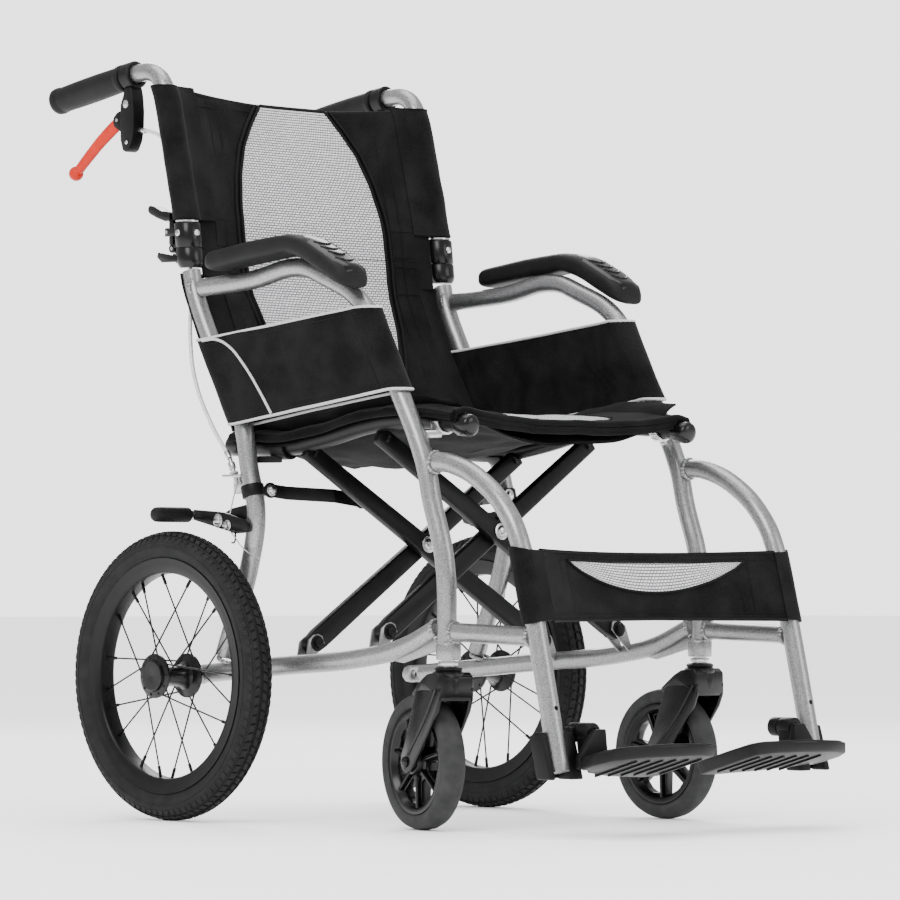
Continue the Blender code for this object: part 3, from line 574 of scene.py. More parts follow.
def bolt_head(name, centre, axis, radius, body, depth=0.003, sides=6, slot="steel", washer=True, dome=False):
    axis = Vector(axis).normalized()
    parts = []
    if washer:
        parts.append(rod(centre, centre + axis * 0.0010, radius * 1.45, 28))
        centre = centre + axis * 0.0010
    if dome:
        shape = [(radius, 0.0), (radius, depth * 0.35), (radius * 0.86, depth * 0.72),
                 (radius * 0.5, depth * 0.96),
                 (radius * 0.2, depth)]
        parts.append(revolve(shape, centre, axis, 28))
    else:
        parts.append(rod(centre, centre + axis * depth, radius, sides))
    return put(name, joined(parts), slot, body, bevel=0.0003)


def clevis(side, pair, layer):
    middle = pair * PAIR_GAP + layer
    ears = []
    for way in (-1, 1):
        near = middle + way * (BRACE_THICK / 2 + 0.0008)
        far = near + way * 0.0023
        outline = [(FRAME_X - 0.004, -0.030), (BOLT_X + 0.012, 0.004), (BOLT_X + 0.004, 0.0095),
                   (BOLT_X - 0.003, 0.0112), (BOLT_X - 0.009, 0.0085), (BOLT_X - 0.0115, 0.000),
                   (FRAME_X - 0.014, -0.024)]
        ears.append(loft([[fold_point(side, x, s, up) for x, up in outline] for s in (near, far)]))
    return ears


def frame_side(p, side):
    body = f"{p}_frame"
    put(f"{p}_rear_post_tube", frame_tube(side, REAR_POST), "frame_paint", body, [f"{p}_rear_post"])
    put(f"{p}_arm_rail_tube", frame_tube(side, ARM_TUBE), "frame_paint", body, [f"{p}_arm_tube"])
    put(f"{p}_leg_arch_tube", frame_tube(side, ARCH), "frame_paint", body, [f"{p}_leg_frame"],
        cut=[rod(at(side, FRAME_X, -0.600, 0.140), at(side, FRAME_X, -0.578, 0.140), 0.0028, 16)])
    put(f"{p}_stretcher_tube", frame_tube(side, STRETCHER, 0.0105), "frame_paint", body)
    tab = slab(side, [(0.050, 0.1545), (0.080, 0.1530), (0.090, 0.1545), (0.0955, 0.1600), (0.0960, 0.1660),
                      (0.0920, 0.1720), (0.0850, 0.1745), (0.050,
                                                           0.1765)], FRAME_X - 0.0042, FRAME_X + 0.0042)
    put(f"{p}_rail_tab", tab, "frame_paint", body, bevel=0.002,
        cut=[rod(at(side, 0.18, 0.0745, 0.1635), at(side, 0.22, 0.0745, 0.1635), 0.0050, 24)])
    put(f"{p}_lower_rail_tube", frame_tube(side, LOWER_RAIL), "frame_paint", body, [f"{p}_lower_rail"])
    layer = brace_layer(side)
    ears = clevis(side, 0, layer) + clevis(side, 1, layer)
    put(f"{p}_clevis_ears", joined(ears), "frame_paint", body, bevel=0.0006)
    for pair in (0, 1):
        middle = pair * PAIR_GAP + layer
        reach = BRACE_THICK / 2 + 0.0033
        ends = [fold_point(side, BOLT_X, middle + way * reach, 0) for way in (-1, 1)]
        shank = rod(ends[0], ends[1], 0.0040)
        put(f"{p}_clevis_shank_{pair}", shank, "steel", body)
        axis = (ends[1] - ends[0]).normalized()
        bolt_head(f"{p}_clevis_bolt_{pair}", ends[1], axis, 0.0064, body, 0.0040, slot="black_plastic")
        bolt_head(f"{p}_clevis_nut_{pair}", ends[0], -axis, 0.0062, body, 0.0034, slot="black_plastic")
    boss = [rod(at(side, FRAME_X + 0.002, 0, AXLE_Z), at(side, HUB_X[0] - 0.0008, 0, AXLE_Z), 0.0105, 32),
            rod(at(side, FRAME_X + 0.003, 0, AXLE_Z), at(side, HUB_X[1] - 0.010, 0, AXLE_Z), 0.0060, 24)]
    put(f"{p}_axle_boss", boss[0], "frame_paint", body, bevel=0.0006)
    put(f"{p}_axle", boss[1], "steel", body)
    put(f"{p}_axle_nut", rod(at(side, HUB_X[0] - 0.0052, 0, AXLE_Z), at(side, HUB_X[0] - 0.0008, 0, AXLE_Z),
                             0.0112, 6), "steel", body, bevel=0.0005)
    stem = rod(at(side, CASTER_X, CASTER_Y, 0.2085), at(side, CASTER_X, CASTER_Y, 0.1900), 0.0140, 36)
    put(f"{p}_stem_collar", stem, "frame_paint", body, bevel=0.0014)
    # welds, at the joints between tubes
    welds = [bead(at(side, FRAME_X, 0.016, 0.6235), (0, 1, -0.12), TUBE_R + 0.0006, 0.0022, 1),
             bead(at(side, FRAME_X, -0.0415, 0.1865), (0, 0.40, -1), TUBE_R + 0.0004, 0.0023, 2),
             bead(at(side, FRAME_X, -0.4015, 0.2232), (0, -1, 0.40), TUBE_R + 0.0006, 0.0024, 3),
             bead(at(side, FRAME_X, -0.4285, 0.2208), (0, -1, 0), 0.0108, 0.0023, 4),
             bead(at(side, FRAME_X, -0.5505, 0.2165), (0, -1, 0), 0.0108, 0.0023, 5),
             bead(at(side, FRAME_X, -0.3975, 0.4090), (0, -1, 0.02), TUBE_R + 0.0006, 0.0024, 6),
             bead(at(side, CASTER_X, CASTER_Y, 0.2085), (0, 0, 1), 0.0122, 0.0020, 7)]
    put(f"{p}_welds", joined(welds), "frame_paint", body)
    gusset = slab(side, [(-0.330, 0.1885), (-0.345, 0.1860), (-0.405, 0.2010), (-0.405, 0.2180),
                         (-0.350, 0.2010)],
                  FRAME_X - 0.0022, FRAME_X + 0.0022)
    put(f"{p}_gusset", gusset, "frame_paint", body, bevel=0.0008)
    collar_y = depth_on(REAR_POST, 0.382)
    collar = rod(at(side, FRAME_X, collar_y + 0.0018, 0.389), at(side, FRAME_X, collar_y - 0.0018, 0.375),
                 0.0135,
                 32)
    put(f"{p}_post_clamp", collar, "black_plastic", body, bevel=0.0012)


def tread_blocks(centre):
    """Five rows of small staggered blocks round the crown."""
    blocks = []
    around = 96
    for row, tilt in enumerate((-58, -30, 0, 30, 58)):
        half_w, half_l = (0.0029, 0.0042) if row in (1, 2, 3) else (0.0034, 0.0036)
        t = math.radians(tilt)
        radius = 0.1485 + 0.0195 * math.cos(t)
        x = 0.0195 * math.sin(t)
        for i in range(around):
            a = 2 * math.pi * (i + 0.5 * (row % 2)) / around
            out = Vector((0, math.sin(a), math.cos(a)))
            along = Vector((0, math.cos(a), -math.sin(a)))
            up = out * math.cos(t) + Vector((math.sin(t), 0, 0))
            wide = Vector((math.cos(t), 0, 0)) - out * math.sin(t)
            middle = centre + out * radius + Vector((x, 0, 0))
            skew = 0.0013 if row % 2 else -0.0013
            rings = []
            for lift, shrink in ((-0.0032, 1.0), (-0.0007, 1.0), (0.0, 0.82)):
                rings.append([middle + up * lift + wide * w * half_w * shrink
                              + along * (l * half_l * shrink + w * skew)
                              for w, l in ((-1, -1), (1, -1), (1, 1), (-1, 1))])
            blocks.append(rings)
    solid = bmesh.new()
    for rings in blocks:
        rows = [[solid.verts.new(point) for point in ring] for ring in rings]
        for below, above in zip(rows, rows[1:]):
            for i in range(4):
                j = (i + 1) % 4
                solid.faces.new((below[i], below[j], above[j], above[i]))
        solid.faces.new(rows[0][::-1])
        solid.faces.new(rows[-1])
    bmesh.ops.recalc_face_normals(solid, faces=solid.faces)
    return solid


def rear_wheel(p, side):
    body = f"{p}_rear_wheel"
    centre = at(side, REAR_X, 0, AXLE_Z)
    axis = Vector((side, 0, 0))
    profile = [(0.1365, -0.0125), (0.1420, -0.0165), (0.1475, -0.0190), (0.1530, -0.0188), (0.1575, -0.0165),
               (0.1620, -0.0118), (0.1645, -0.0060), (0.1653, 0.0)]
    profile = both_ways(profile, shared=True)
    wall = [hoop([(0.1490, s * 0.0185), (0.1496, s * 0.0197), (0.1506, s * 0.0197), (0.1512, s * 0.0185)],
                 centre,
                 axis) for s in (-1, 1)]
    put(f"{p}_tyre_carcass", joined([hoop(profile, centre, axis, 128)] + wall), "tyre", body,
        [f"{p}_rear_tyre"],
        angle=50)
    put(f"{p}_tread_blocks", tread_blocks(centre), "tyre", body, angle=20)
    rim = [(0.1190, -0.0078), (0.1200, -0.0104), (0.1225, -0.0126), (0.1300, -0.0132), (0.1340, -0.0142),
           (0.1368, -0.0146), (0.1372, -0.0132), (0.1340, -0.0110)]
    rim = both_ways(rim)
    put(f"{p}_rim_hoop", hoop(rim, centre, axis, 128), "black_paint", body, [f"{p}_rear_rim"], angle=40)
    start = at(side, HUB_X[0], 0, AXLE_Z)
    length = HUB_X[1] - HUB_X[0]
    hub = [(0.0066, 0.0), (0.0240, 0.0), (0.0258, 0.0008), (0.0258, 0.0030), (0.0240, 0.0040),
           (0.0165, 0.0072),
           (0.0130, 0.0120), (0.0115, 0.0220), (0.0115, length - 0.0250), (0.0130, length - 0.0160),
           (0.0165, length - 0.0115), (0.0240, length - 0.0082), (0.0258, length - 0.0072),
           (0.0258, length - 0.0050), (0.0240, length - 0.0042), (0.0185, length - 0.0038),
           (0.0178, length - 0.0008), (0.0165, length), (0.0066, length), (0.0, length - 0.0004)]
    put(f"{p}_hub_shell", revolve(hub, start, axis, 64), SMOOTH_BLACK, body, [f"{p}_hub_spokes"],
        angle=30)
    wires, nipples = [], []
    count = 20
    for i in range(count):
        outer = i % 2
        turn = 2 * math.pi * (i + 0.25) / count
        lean = math.radians(40 if (i // 2) % 2 else -40)
        x = length - 0.0061 if outer else 0.0019
        foot = start + axis * x + Vector((0, math.sin(turn), math.cos(turn))) * 0.0220
        turn += lean
        out = Vector((0, math.sin(turn), math.cos(turn)))
        head = start + axis * (REAR_X - HUB_X[0]) + out * 0.1192
        way = (head - foot).normalized()
        wires.append(rod(foot, head, 0.0010, 10))
        nipples.append(rod(head - way * 0.0125, head + way * 0.001, 0.0019, 10))
        nipples.append(ball(foot + axis * (0.0022 if outer else -0.0018), 0.0019, (0.6, 1, 1), 10))
    put(f"{p}_spoke_wires", joined(wires), "black_paint", body)
    put(f"{p}_spoke_nipples", joined(nipples), "black_paint", body)


def caster(p, side):
    swing = Matrix.Translation(at(side, CASTER_X, CASTER_Y, 0)) @ Matrix.Rotation(
        -math.radians(CASTER_REST[p]), 4, "Z") @ Matrix.Translation(-at(side, CASTER_X, CASTER_Y, 0))
    stem_y, axle_y = CASTER_Y, CASTER_Y + TRAIL

    def here(x, y, z):
        return Vector((side * CASTER_X + x, y + AXLE_Y, z))

    def swung(solid):
        bmesh.ops.transform(solid, matrix=swing, verts=solid.verts)
        return solid

    fork = f"{p}_swivel"
    cap = [(0.0168, 0.1480), (0.0174, 0.1560), (0.0174, 0.1660), (0.0168, 0.1690), (0.0160, 0.1697),
           (0.0176, 0.1712), (0.0182, 0.1735), (0.0178, 0.1762), (0.0158, 0.1772), (0.0150, 0.1780),
           (0.0158, 0.1792), (0.0156, 0.1812), (0.0130, 0.1826), (0.0090, 0.1830)]
    crown = loft([ring_about(here(0, stem_y, z), (0, 0, 1), r, 48) for r, z in cap])
    put(f"{p}_fork_crown", swung(crown), SMOOTH_BLACK, fork, [f"{p}_caster_fork"], angle=32)
    bridge_line = [(-0.0172, 0.1500), (-0.0150, 0.1440), (-0.0080, 0.1500), (0.0040, 0.1545),
                   (0.0220, 0.1555),
                   (0.0400, 0.1500), (0.0430, 0.1530), (0.0330, 0.1605), (0.0210, 0.1690), (0.0100, 0.1745),
                   (-0.0100, 0.1770), (-0.0165, 0.1720)]
    bridge = loft([[here(x, stem_y + y, z) for y, z in bridge_line] for x in (-0.0228, 0.0228)])
    leg_line = [(-0.0172, 0.1600), (-0.0166, 0.1460), (-0.0110, 0.1330), (0.0080, 0.1080), (0.0400, 0.0720),
                (0.0470, 0.0660), (0.0560, 0.0635), (0.0650, 0.0675), (0.0685, 0.0760), (0.0665, 0.0850),
                (0.0540, 0.1080), (0.0440, 0.1330), (0.0340, 0.1570)]
    legs = [loft([[here(x, stem_y + y, z) for y, z in leg_line] for x in pair])
            for pair in ((-0.0228, -0.0176), (0.0176, 0.0228))]
    put(f"{p}_fork_bridge", swung(bridge), SMOOTH_BLACK, fork, bevel=0.0026, segments=3)
    for k, leg in enumerate(legs):
        put(f"{p}_fork_leg_{k}", swung(leg), SMOOTH_BLACK, fork, bevel=0.0018,
            segments=3)
    ribs = []
    for s in (-1, 1):
        ribs.append(tube([here(s * 0.0228, stem_y + y, z) for y,
                          z in ((-0.012, 0.158), (0.012, 0.125), (0.050, 0.085))],
                         0.0016, 6, 3))
    put(f"{p}_fork_ribs", swung(joined(ribs)), SMOOTH_BLACK, fork)
    stem = rod(here(0, stem_y, 0.180), here(0, stem_y, 0.1895), 0.0078, 28)
    put(f"{p}_stem", swung(stem), "steel", fork)
    put(f"{p}_stem_nut", swung(rod(here(0, stem_y, 0.1836), here(0, stem_y, 0.1888), 0.0112, 6)), "steel",
        fork,
        bevel=0.0005)
    for k, s in enumerate((-1, 1)):
        centre = here(s * 0.0228, axle_y, CASTER_R)
        shape = [(0.0062, 0.0), (0.0062, 0.0018), (0.0052, 0.0030), (0.0030, 0.0038), (0.0010, 0.0040)]
        put(f"{p}_axle_cap_{k}", swung(revolve(shape, centre, (s, 0, 0), 32)), SMOOTH_BLACK, fork)
    put(f"{p}_caster_axle", swung(rod(here(-0.0225, axle_y, CASTER_R), here(0.0225, axle_y, CASTER_R),
                                      0.0036, 20)),
        "steel", fork)
    wheel = f"{p}_caster"
    middle = here(0, axle_y, CASTER_R)
    core = [(0.0040, -0.0158), (0.0120, -0.0160), (0.0135, -0.0152), (0.0150, -0.0080), (0.0170, -0.0058),
            (0.0480, -0.0050), (0.0505, -0.0080), (0.0525, -0.0118), (0.0585, -0.0120), (0.0592, -0.0110)]
    core = both_ways(core)
    windows = []
    for i in range(7):
        a = 2 * math.pi * i / 7
        corners = [(0.0225, -0.19), (0.0465, -0.33), (0.0485, -0.10), (0.0485, 0.10), (0.0465, 0.33),
                   (0.0225, 0.19)]
        windows.append(loft([[middle + Vector((x, math.sin(a + b) * r, math.cos(a + b) * r)) for r,
                              b in corners]
                             for x in (-0.03, 0.03)]))
    put(f"{p}_wheel_core", swung(hoop(core, middle, (1, 0, 0), 84)), SMOOTH_BLACK, wheel,
        [f"{p}_caster_wheel"],
        cut=[swung(joined(windows))], bevel=0.0008, angle=30)
    ribs = []
    for i in range(7):
        a = 2 * math.pi * (i + 0.5) / 7
        out = Vector((0, math.sin(a), math.cos(a)))
        for s in (-1, 1):
            ribs.append(rod(middle + out * 0.0150 + Vector((s * 0.0085, 0, 0)),
                            middle + out * 0.0520 + Vector((s * 0.0070, 0, 0)), 0.0022, 10))
    put(f"{p}_wheel_ribs", swung(joined(ribs)), SMOOTH_BLACK, wheel)
    rubber = [(0.0594, -0.0112), (0.0612, -0.0136), (0.0650, -0.0142), (0.0700, -0.0138), (0.0732, -0.0116),
              (0.0752, -0.0074), (0.0759, -0.0030), (0.0760, 0.0)]
    rubber = both_ways(rubber, shared=True)
    put(f"{p}_caster_ring", swung(hoop(rubber, middle, (1, 0, 0), 112)), "caster_rubber", wheel,
        [f"{p}_caster_tyre"], angle=60)


# ---- back

def hinge_axis_at(z):
    return 0.0265 + (z - 0.646) * 0.12


def back_side(p, side):
    back, base = f"{p}_back", f"{p}_frame"

    def ring(z, r):
        return ring_about(at(side, FRAME_X, hinge_axis_at(z), z), (0, 0, 1), r, 40)

    shape = [(0.0125, 0.6466), (0.0148, 0.6500), (0.0158, 0.6545), (0.0160, 0.6690), (0.0152, 0.6702)]
    put(f"{p}_hinge_cup", loft([ring(z, r) for r, z in shape]), SMOOTH_BLACK, base, [f"{p}_hinge_lower"],
        angle=40)
    knuckle = [rod(at(side, FRAME_X - 0.0044, HINGE_Y, HINGE_Z), at(side, FRAME_X + 0.0044, HINGE_Y, HINGE_Z),
                   0.0052, 24),
               box(side, (FRAME_X - 0.0044, FRAME_X + 0.0044), (0.036, HINGE_Y), (0.6640, 0.6692))]
    catch = [(0.034, 0.6535), (0.034, 0.6600), (0.0725, 0.6670), (0.0745, 0.6610), (0.0660, 0.6545)]
    for a, b in ((-0.0126, -0.0104), (0.0104, 0.0126)):
        knuckle.append(slab(side, catch, FRAME_X + a, FRAME_X + b))
    put(f"{p}_hinge_stub", joined(knuckle), SMOOTH_BLACK, base, bevel=0.0009)
    shape = [(0.0152, 0.6706), (0.0160, 0.6718), (0.0160, 0.6985), (0.0150, 0.7000), (0.0120, 0.7003)]
    put(f"{p}_hinge_sleeve", loft([ring(z, r) for r, z in shape]), SMOOTH_BLACK, back, [f"{p}_hinge_upper"],
        angle=40)
    put(f"{p}_hinge_ring", loft([ring(z, r) for r, z in ((0.0118, 0.7000), (0.0138, 0.7010), (0.0140, 0.7028),
                                                         (0.0120, 0.7038))]), "steel", back)
    ears = []
    for a, b in ((-0.0100, -0.0050), (0.0050, 0.0100)):
        x = (FRAME_X + a, FRAME_X + b)
        ears.append(rod(at(side, x[0], HINGE_Y, HINGE_Z), at(side, x[1], HINGE_Y, HINGE_Z), 0.0052, 24))
        ears.append(box(side, x, (0.038, HINGE_Y), (0.6708, 0.6753)))
    for a, b in ((-0.0100, -0.0078), (0.0078, 0.0100)):
        ears.append(box(side, (FRAME_X + a, FRAME_X + b), (0.036, 0.0630), (0.6850, 0.6950)))
    put(f"{p}_hinge_ears", joined(ears), SMOOTH_BLACK, back, bevel=0.0007)
    pins = [rod(at(side, FRAME_X - 0.0101, y, z), at(side, FRAME_X + 0.0101, y, z), 0.0024, 18)
            for y, z in ((HINGE_Y, HINGE_Z), (0.0600, 0.6900))]
    put(f"{p}_hinge_pins", joined(pins), "steel", back)
    for k, (dx, dy) in enumerate(((side * 0.0158, 0.0), (0.0, -0.0158))):
        spot = at(side, FRAME_X, hinge_axis_at(0.6875), 0.6875) + Vector((dx, dy, 0))
        bolt_head(f"{p}_hinge_screw_{k}", spot, (dx, dy, 0), 0.0040, back, 0.0022, dome=True, washer=False)
    release = f"{p}_release"
    stem = slab(side, [(0.0565, 0.6735), (0.0635, 0.6760), (0.0635, 0.7060), (0.0565, 0.7060)],
                FRAME_X - 0.0035, FRAME_X + 0.0035)
    thumb = slab(side, [(0.0560, 0.7050), (0.0640, 0.7032), (0.0780, 0.7075), (0.0925, 0.7135),
                        (0.0962, 0.7170), (0.0958, 0.7215), (0.0930, 0.7240), (0.0860, 0.7222),
                        (0.0720, 0.7160), (0.0600, 0.7148), (0.0560, 0.7120)],
                 FRAME_X - 0.0090, FRAME_X + 0.0090)
    put(f"{p}_thumb_tab", joined([stem, thumb]), SMOOTH_BLACK, release, [f"{p}_release_lever"], bevel=0.0014,
        segments=3)

    put(f"{p}_push_cane", frame_tube(side, CANE), "frame_paint", back, [f"{p}_cane"])
    start, end = (at(side, FRAME_X, y, z) for y, z in GRIP)
    axis = (end - start).normalized()
    length = (end - start).length
    shape = [(0.0125, 0.0), (0.0158, 0.0006), (0.0166, 0.0022), (0.0166, 0.0066), (0.0158, 0.0082),
             (0.0150, 0.0094)]
    steps = 46
    for i in range(steps + 1):
        t = i / steps
        h = 0.0110 + t * (length - 0.0240)
        r = 0.0150 + 0.0007 * math.sin(math.pi * t) + (0.00035 if i % 2 else 0.0)
        shape.append((r, h))
    shape += [(0.0160, length - 0.0110), (0.0164, length - 0.0070), (0.0160, length - 0.0030),
              (0.0140, length - 0.0008), (0.0100, length)]
    put(f"{p}_hand_grip", revolve(shape, start, axis, 56), "soft_black", back, [f"{p}_grip"], angle=60)
    y, z = 0.1355, on_line(CANE, 0.1355)
    way = (at(side, 0, *CANE[-1]) - at(side, 0, *CANE[-2])).normalized()
    centre = at(side, FRAME_X, y, z)
    clamp = hoop([(0.0124, -0.0086), (0.0152, -0.0086), (0.0165, -0.0074), (0.0165, 0.0074), (0.0152, 0.0086),
                  (0.0124, 0.0086)], centre, way, 48)
    put(f"{p}_lever_clamp", clamp, "black_plastic", back, [f"{p}_brake_housing"])
    body_line = [(0.1285, 0.8690), (0.1410, 0.8690), (0.1428, 0.8600), (0.1484, 0.8480), (0.1490, 0.8300),
                 (0.1482, 0.8050), (0.1440, 0.7925), (0.1390, 0.7905), (0.1335, 0.7932), (0.1275, 0.8030),
                 (0.1240, 0.8180), (0.1235, 0.8400), (0.1255, 0.8580)]
    put(f"{p}_lever_bracket", slab(side, body_line, FRAME_X - 0.0095, FRAME_X + 0.0095), "black_plastic",
        back,
        bevel=0.0026, segments=3)
    cheeks = [slab(side, [(0.1460, 0.8420), (0.1560, 0.8390), (0.1622, 0.8340), (0.1632, 0.8280),
                          (0.1610, 0.8225), (0.1460, 0.8140)], FRAME_X + a, FRAME_X + b)
              for a, b in ((-0.0082, -0.0043), (0.0043, 0.0082))]
    put(f"{p}_lever_cheeks", joined(cheeks), "black_plastic", back, bevel=0.0010)
    pin = rod(at(side, FRAME_X - 0.0088, HANDLE_Y, HANDLE_Z), at(side, FRAME_X + 0.0088, HANDLE_Y, HANDLE_Z),
              0.0022,
              18)
    put(f"{p}_lever_pin", pin, "steel", back)
    for k, (sy, sz, sr) in enumerate(((0.1365, 0.8480, 0.0034), (0.1350, 0.8020, 0.0026))):
        bolt_head(f"{p}_bracket_screw_{k}", at(side, FRAME_X + 0.0095, sy, sz), (side, 0, 0), sr, back,
                  0.0018,
                  dome=True, washer=k == 0)
    rings = []
    blade = [(0.1525, 0.8285, 0.0060, 0.0036), (0.1590, 0.8290, 0.0082, 0.0038),
             (0.1700, 0.8232, 0.0088, 0.0040), (0.1850, 0.8145, 0.0086, 0.0043),
             (0.2000, 0.8048, 0.0080, 0.0047), (0.2150, 0.7938, 0.0074, 0.0050),
             (0.2280, 0.7840, 0.0068, 0.0052), (0.2370, 0.7768, 0.0064, 0.0052),
             (0.2430, 0.7735, 0.0056, 0.0048)]
    for k, (by, bz, tall, wide) in enumerate(blade):
        near, far = blade[max(0, k - 1)], blade[min(len(blade) - 1, k + 1)]
        rise = Vector((0, far[0] - near[0], far[1] - near[1])).normalized()
        across = Vector((0, -rise.z, rise.y))
        spot = at(side, FRAME_X, by, bz)
        rings.append([spot + Vector((math.cos(a) * wide, 0, 0)) + across * math.sin(a) * tall
                      for a in [2 * math.pi * (i + 0.5) / 16 for i in range(16)]])
    put(f"{p}_lever_blade", joined([loft(rings), ball(at(side, FRAME_X, 0.2435, 0.7722), 0.0090, sides=24)]),
        "lever_red", f"{p}_hand_lever", [f"{p}_brake_lever"], angle=60)

    line = CANE[:5]
    heights = [0.7044 + (0.8655 - 0.7044) * k / 22 for k in range(23)]

    def sleeve_point(u, z):
        """Round the cane, from the front of the flat strip to its back."""
        cy = depth_on(line, z)
        fat = 0.0150 + 0.0012 * noise.noise(Vector((z * 30, side * 3, 0)))
        edge = (FRAME_X + fat * math.cos(math.radians(150)), fat * math.sin(math.radians(150)))
        if 0.2 <= u <= 0.8:
            a = math.radians(-150 + 300 * (u - 0.2) / 0.6)
            return at(side, FRAME_X + fat * math.cos(a), cy + fat * math.sin(a), z)
        t = min(u, 1 - u) / 0.2
        x, reach = 0.1590 + (edge[0] - 0.1590) * t, 0.0024 + (edge[1] - 0.0024) * t ** 2.2
        return at(side, x, cy + math.copysign(reach, u - 0.5), z)

    z_low, z_high = heights[0], heights[-1]
    sleeve = cloth(f"{p}_cane_sleeve", lambda u, v: sleeve_point(u, z_low + (z_high - z_low) * v), 48, 26,
                   0.0016,
                   (0.135, 0.157), SLOTS["fabric"], back, [f"{p}_back_sleeve"], ripple=0.0009, seed=side)
    for label, body, z0, z1 in (("upper", back, 0.6706, 0.7060), ("lower", base, 0.6380, 0.6703)):
        def flap(u, v):
            z = z0 + (z1 - z0) * v
            return at(side, 0.1585 + 0.0262 * u, panel_point(PANEL_HALF, z).y - AXLE_Y, z)

        tab = cloth(f"{p}_{label}_edge_tab", flap, 8, 8, 0.0026, (0.026, z1 - z0), SLOTS["fabric"], body)
    seams = []
    for x, dy in ((0.1870, -0.0068), (0.1835, -0.0048)):
        seams.append(tube([at(side, x, depth_on(line, z) + dy * 0.75, z) for z in heights[::3]], 0.0006, 3,
                          2))
    put(f"{p}_sleeve_seams", joined(seams), THREAD, back)
    hem = [tube([sleeve_point(0.02 + 0.96 * k / 24, z) for k in range(25)], 0.0013, 3, 2)
           for z in (z_low + 0.0006, z_high - 0.0006)]
    put(f"{p}_sleeve_hems", joined(hem), EDGE_CLOTH, back)
    # the strip of the lower panel that runs behind the rear post

    def behind(u, v):
        z = 0.452 + (0.640 - 0.452) * v
        cy = depth_on(REAR_POST, z)
        if u < 0.6:
            a = math.radians(35 + (u / 0.6) * 120)
            return at(side, FRAME_X + 0.0128 * math.cos(a), cy + 0.0128 * math.sin(a), z)
        t = (u - 0.6) / 0.4  # on past the post, to the panel's edge
        x0, y0 = FRAME_X + 0.0128 * math.cos(math.radians(155)), 0.0128 * math.sin(math.radians(155))
        return at(side, x0 + (0.1600 - x0) * t, cy + y0 * (1 - t), z)

    strip = cloth(f"{p}_post_strip", behind, 20, 14, 0.0022, (0.06, 0.188), SLOTS["fabric"], base)


BARREL = [(0.520, 0.082), (0.552, 0.096), (0.582, 0.105), (0.620, 0.110), (0.665, 0.112), (0.700, 0.1115),
          (0.727, 0.110), (0.765, 0.102), (0.800, 0.088), (0.830, 0.069), (0.857, 0.047)]


def barrel_half(z):
    return on_line(BARREL, z)


def panel_point(x, z):
    """The back's front line: it follows the canes or the rear posts, and lies back in the middle."""
    if z > 0.7050:
        y = depth_on(CANE[:5], z)
    elif z > 0.6425:
        y = 0.0256 + (0.0343 - 0.0256) * (z - 0.6425) / (0.7050 - 0.6425)
    else:
        y = depth_on(REAR_POST, z)
    share = min(1.0, abs(x) / PANEL_HALF)
    return at(1, x, y + 0.012 * (1 - share * share) + 0.0008 * noise.noise(Vector((x * 25, z * 18, 4))), z)


def back_centre():
    zones = (("upper", "right_back", 0.6707, 0.8600, "back_panel_upper", 0.0085),
             ("lower", "right_frame", 0.4640, 0.6704, "back_panel_lower", 0.0))
    made = []
    for label, body, z0, z1, node, dip in zones:
        def place(u, v):
            x = -PANEL_HALF + 0.319 * u
            top = z1 - dip * (1 - (abs(x) / PANEL_HALF) ** 2)
            return panel_point(x, z0 + (top - z0) * v)

        obj = cloth(f"back_cloth_{label}", place, 48, 30, 0.0040, (0.319, z1 - z0), SLOTS["fabric"], body,
                    [node],
                    ripple=0.0016, seed=z0)
        made.append((obj, (0.319, z1 - z0)))
        low_z, high_z = (0.6709, 0.8515) if label == "upper" else (0.520, 0.6702)

        def mesh_place(u, v):
            z = low_z + (high_z - low_z) * v
            half = barrel_half(z)
            x = -half + 2 * half * u
            return panel_point(x, z) + Vector((0, -0.0034, 0))

        insert = cloth(f"back_mesh_{label}", mesh_place, 40, 26, 0.0014, (0.20, high_z - low_z), AIR_MESH,
                       body)
        made.append((insert, None))
        edges = []
        for offset, radius in ((0.0015, 0.0021), (0.0095, 0.0019)):
            for s in (-1, 1):
                zs = [low_z + (high_z - low_z) * k / 14 for k in range(15)]
                edges.append(tube([panel_point(s * (barrel_half(z) + offset), z) + PIPING_OUT
                                   for z in zs], radius, 3, 3))
        if label == "upper":
            half = barrel_half(high_z)
            edges.append(tube([panel_point(-half + 2 * half * t / 6, high_z + 0.0010) + PIPING_OUT
                               for t in range(7)], 0.0022, 3, 3))
            across = [-0.158 + 0.316 * t / 12 for t in range(13)]
            edges.append(tube([panel_point(x, 0.8590 - dip * (1 - (abs(x) / PANEL_HALF) ** 2))
                               for x in across], 0.0027, 3, 3))
        band = put(f"back_piping_{label}", joined(edges), DARK_PIPING, body, angle=70)
        made.append((band, None))
        threads = []
        for s in (-1, 1):
            for inset in (0.0300, 0.0460):
                zs = [low_z + (high_z - low_z) * k / 10 for k in range(11)]
                threads.append(tube([panel_point(s * (PANEL_HALF - inset + 0.012), z) + STITCH_OUT
                                     for z in zs], THREAD_R, 3, 1))
        for z in ((0.6755, 0.7080, 0.8440) if label == "upper" else (0.6640, 0.6300)):
            for s in (-1, 1):
                inner = barrel_half(z) + 0.013
                threads.append(tube([panel_point(s * (inner + (0.158 - inner) * t / 5), z) + STITCH_OUT
                                     for t in range(6)], THREAD_R, 3, 1))
        made.append((put(f"back_stitches_{label}", joined(threads), THREAD, body), None))
    for obj, flat in made:
        if flat:
            "right_push_cane" if "upper" in obj.name else "right_rear_post_tube"
        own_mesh(obj)


# ---- seat and fold

